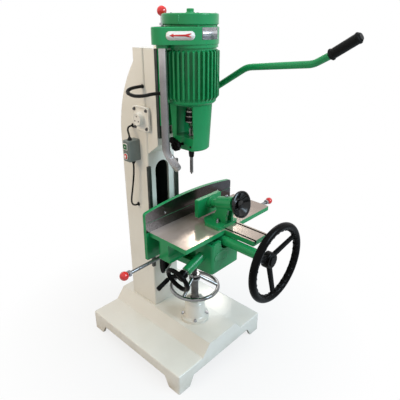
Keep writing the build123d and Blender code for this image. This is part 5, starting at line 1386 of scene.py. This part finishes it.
def add_bumpy_ring(build, centre, radius, thick, swell, bumps, sides=12):
    """Ring about the Y axis whose section swells and shrinks along its way round."""
    count = bumps * 8
    rings = []
    for step in range(count):
        angle = 2 * pi * step / count
        out = Vector((cos(angle), 0.0, sin(angle)))
        reach = thick + swell * cos(bumps * angle)
        ring = []
        for number in range(sides):
            turn = 2 * pi * number / sides
            deep = Vector((0.0, 1.1 * reach * sin(turn), 0.0))
            spot = Vector(centre) + out * (radius + reach * cos(turn)) + deep
            ring.append(build.verts.new(spot * MM))
        rings.append(ring)
    join_rings(build, rings, closed=True)


build = bmesh.new()
add_bumpy_ring(build, (0, -568, STEER_Z), radius=142.5, thick=10.6, swell=2.2, bumps=30)
keep("finger_bumps", build, "steering", "black_plastic")
turned_piece("hub_cap", "steering", "black_plastic", seat((0, -549.8, STEER_Z), FRONT),
             [(31.5, -0.5), (31.5, 2.5), (30.0, 4.0), (20.5, 4.6), (20.0, 7.5), (18.5, 9.0),
              (4.0, 9.6)], sides=40)
print("finger bumps and hub cap made")

# %% [markdown]
# ## Cross wheel and grip
# The small cross wheel leans with its shaft. Its rim is a full round ring, and its crank handle a
# sleeve that swells where the palm lies. Both are turned over plain solids, which keep the exact
# places for the joint.

# %% Round the cross wheel and its crank
CROSS_LEAN, CRANK_TURN = radians(20), radians(345)
CROSS_AT = Vector((-226.0, -262.0, 545.0))
CROSS_ALONG = Vector((cos(CROSS_LEAN), 0.0, sin(CROSS_LEAN)))
CROSS_SIDE = CROSS_ALONG.cross(Vector((0.0, 1.0, 0.0)))
CRANK_OUT = Vector((0.0, cos(CRANK_TURN), 0.0)) + CROSS_SIDE * sin(CRANK_TURN)
RIM_RADIUS, RIM_THICK, RIM_STEPS = 52.4, 9.4, 16
CRANK_REACH, CRANK_FOOT = 53.0, 12.0

rim_turns = [2 * pi * step / RIM_STEPS for step in range(RIM_STEPS)]
rim_section = [(RIM_RADIUS + RIM_THICK * cos(turn), RIM_THICK * sin(turn)) for turn in rim_turns]
turned_piece("cross_rim", "cross", "black_plastic", seat(CROSS_AT, CROSS_ALONG), rim_section,
             sides=72, ring_shaped=True)
turned_piece("crank_sleeve", "crank", "black_plastic",
             seat(CROSS_AT + CRANK_OUT * CRANK_REACH - CROSS_ALONG * CRANK_FOOT, -CROSS_ALONG),
             [(7.0, 0.0), (9.0, 2.5), (9.6, 8.0), (9.3, 22.0), (9.7, 44.0), (9.8, 56.0),
              (9.0, 60.5), (7.0, 62.2)], sides=28)
print("rim and crank sleeve made")

# %% [markdown]
# The lever's grip is rubber with fine ribs for the hand and a bead at its end that stops the hand
# from slipping off. A loop writes the profile, three steps for each rib.

# %% Rib the lever's grip
GRIP_FROM = Vector((140.0, -614.0, 1395.0))
GRIP_TO = Vector((140.0, -710.0, 1456.0))
GRIP_RIBS, RIB_PITCH = 26, 3.2
grip_steps = [(16.2, 14.0)]
for number in range(GRIP_RIBS):
    grip_steps += [(16.75, 16.0 + RIB_PITCH * number), (17.15, 17.0 + RIB_PITCH * number),
                   (16.75, 18.0 + RIB_PITCH * number)]
grip_steps += [(18.3, 101.0), (18.8, 103.0), (18.3, 106.0), (16.0, 108.5)]
grip_along = (GRIP_TO - GRIP_FROM).normalized()
turned_piece("grip_ribs", "feed", "grip_rubber", seat(GRIP_FROM, grip_along), grip_steps, sides=28)
print("grip with", GRIP_RIBS, "ribs")

# %% [markdown]
# ## Switch
# Each button sits in a pale collar. The upper one is square and carries a plain bar, and the
# lower one is round with a plain ring, the usual marks for on and off. The marks are thin forms
# of their own, so that they move with their buttons and stay sharp when seen close.

# %% Mark the buttons
START_Z, STOP_Z = 1000.0, 957.0
COLLAR_PROFILE = [(11.6, -0.3), (15.0, -0.3), (15.0, 1.2), (14.2, 2.0), (12.4, 2.0), (11.6, 1.2)]


def on_switch(depth, height):
    """Seat on the front of the switch box, at its own depth and height."""
    return seat((depth, 137, height), LEFT)


build = bmesh.new()
for height, outline in ((START_Z, rounded_square), (STOP_Z, None)):
    turned_form(build, on_switch(-143, height), COLLAR_PROFILE, 48, outline, ring_shaped=True)
keep("button_collars", build, "frame", "box_plastic", "collar_plastic")
start_key = turned_piece("start_key", "start_button", "start_plastic", on_switch(-134, START_Z),
                         [(11.0, 0.0), (11.0, 11.5), (10.0, 13.0), (9.0, 12.4)], sides=48,
                         outline=rounded_square)
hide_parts("start_button")
turned_piece("start_mark", "start_button", "start_plastic", on_switch(-146.4, START_Z),
             [(1.4, -0.3), (1.4, 0.3), (1.2, 0.5)], "white_vinyl", sides=16, outline=oval(1.0, 4.4))
turned_piece("stop_mark", "stop_button", "stop_plastic", on_switch(-147, STOP_Z),
             [(4.2, -0.3), (6.0, -0.3), (6.0, 0.4), (4.2, 0.4)], "white_vinyl", sides=28)
print("collars and marks on the switch")

# %% [markdown]
# ## Floor
# A pale floor carries the shadow and turns to plain white away from the machine, so that no
# horizon shows. More light could bleach it, but that would bleach the machine too. So the camera
# sees a share of plain white in the floor, and that share grows with the distance.

# %% Lay the floor
FLOOR_REACH, FLOOR_GREY = 9.0, 0.68
SHADOW_NEAR, SHADOW_FAR, NEAR_WHITE = 0.3, 1.0, 0.78

mesh = bpy.data.meshes.new("floor")
corners = ((-1, -1), (1, -1), (1, 1), (-1, 1))
mesh.from_pydata([(x * FLOOR_REACH, y * FLOOR_REACH, 0) for x, y in corners], [], [(0, 1, 2, 3)])
floor = place_object("floor", mesh)
tree, shader = start_material("floor_white")
shader.inputs["Base Color"].default_value = (FLOOR_GREY, FLOOR_GREY, FLOOR_GREY, 1.0)
shader.inputs["Roughness"].default_value = 0.7
shader.inputs["Specular IOR Level"].default_value = 0.0
glow = add(tree, "ShaderNodeEmission", {"Strength": 1.0})
away = add(tree, "ShaderNodeVectorMath", operation="LENGTH")
feed(tree, away.inputs[0], object_place(tree))
whiter = spread(tree, away.outputs["Value"], SHADOW_NEAR, SHADOW_FAR, NEAR_WHITE, 1.0)
seen = add(tree, "ShaderNodeLightPath").outputs["Is Camera Ray"]
blend = add(tree, "ShaderNodeMixShader")
feed(tree, blend.inputs[0], combine(tree, "MULTIPLY", seen, whiter))
feed(tree, blend.inputs[1], shader.outputs[0])
feed(tree, blend.inputs[2], glow.outputs[0])
surface = next(node for node in tree.nodes if node.type == "OUTPUT_MATERIAL").inputs["Surface"]
feed(tree, surface, blend.outputs[0])
mesh.materials.append(finishes["floor_white"])
print("floor", round(2 * FLOOR_REACH), "m wide")

# %% [markdown]
# ## World
# The world is white where the camera or a reflection looks at it, and softer where it only gives
# light. That keeps the background white and the shadows deep enough to show the shapes.

# %% Set the world
SOFT_SKY = 0.34

world = bpy.data.worlds.new("studio")
bpy.context.scene.world = world
world.use_nodes = True
sky = world.node_tree
back = next(node for node in sky.nodes if node.type == "BACKGROUND")
back.inputs["Color"].default_value = (1.0, 1.0, 1.0, 1.0)
path = add(sky, "ShaderNodeLightPath").outputs
shown = combine(sky, "ADD", path["Is Camera Ray"], path["Is Glossy Ray"])
shown = combine(sky, "ADD", shown, path["Is Transmission Ray"])
shown = combine(sky, "MINIMUM", shown, 1.0)
feed(sky, back.inputs["Strength"], spread(sky, shown, 0.0, 1.0, SOFT_SKY, 1.0))
print("world set")

# %% [markdown]
# ## Lamps
# A wide cool lamp in front is the main light, as from a large door. A warm one at the left and a
# soft one above fill the shadows. Those two stay out of reflections, because polished iron would
# mirror them and burn out white in some views. A small lamp behind puts a glint on enamel and
# ground iron.

# %% Hang the lamps
def lamp(name, place, aim, size, power, colour, mirrored=True):
    """Round lamp that looks at a point; one that is not mirrored stays out of reflections."""
    data = bpy.data.lights.new(name, "AREA")
    data.shape = "DISK"
    data.size = size
    data.energy = power
    data.color = colour
    light = place_object(name, data)
    light.location = place
    light.rotation_euler = (Vector(aim) - Vector(place)).to_track_quat("-Z", "Y").to_euler()
    light.visible_glossy = mirrored


lamp("key", place=(0.9, -2.8, 2.6), aim=(0.0, -0.1, 0.8), size=1.8, power=92.0,
     colour=(0.66, 0.85, 1.0))
lamp("fill", place=(-2.5, 0.7, 2.6), aim=(0.0, 0.0, 0.8), size=1.6, power=37.0,
     colour=(1.0, 0.8, 0.57), mirrored=False)
lamp("top", place=(-0.2, 0.2, 3.3), aim=(0.0, 0.0, 0.8), size=2.2, power=39.0,
     colour=(0.84, 0.93, 1.0), mirrored=False)
lamp("glint", place=(2.75, 2.2, 2.83), aim=(0.1, -0.2, 0.4), size=0.6, power=7.0,
     colour=(1.0, 0.95, 0.88))
bpy.context.scene.view_settings.view_transform = "Standard"
print("lamps:", len(bpy.data.lights))

# %% [markdown]
# ## Finish

# %% Finish
print("pieces done")
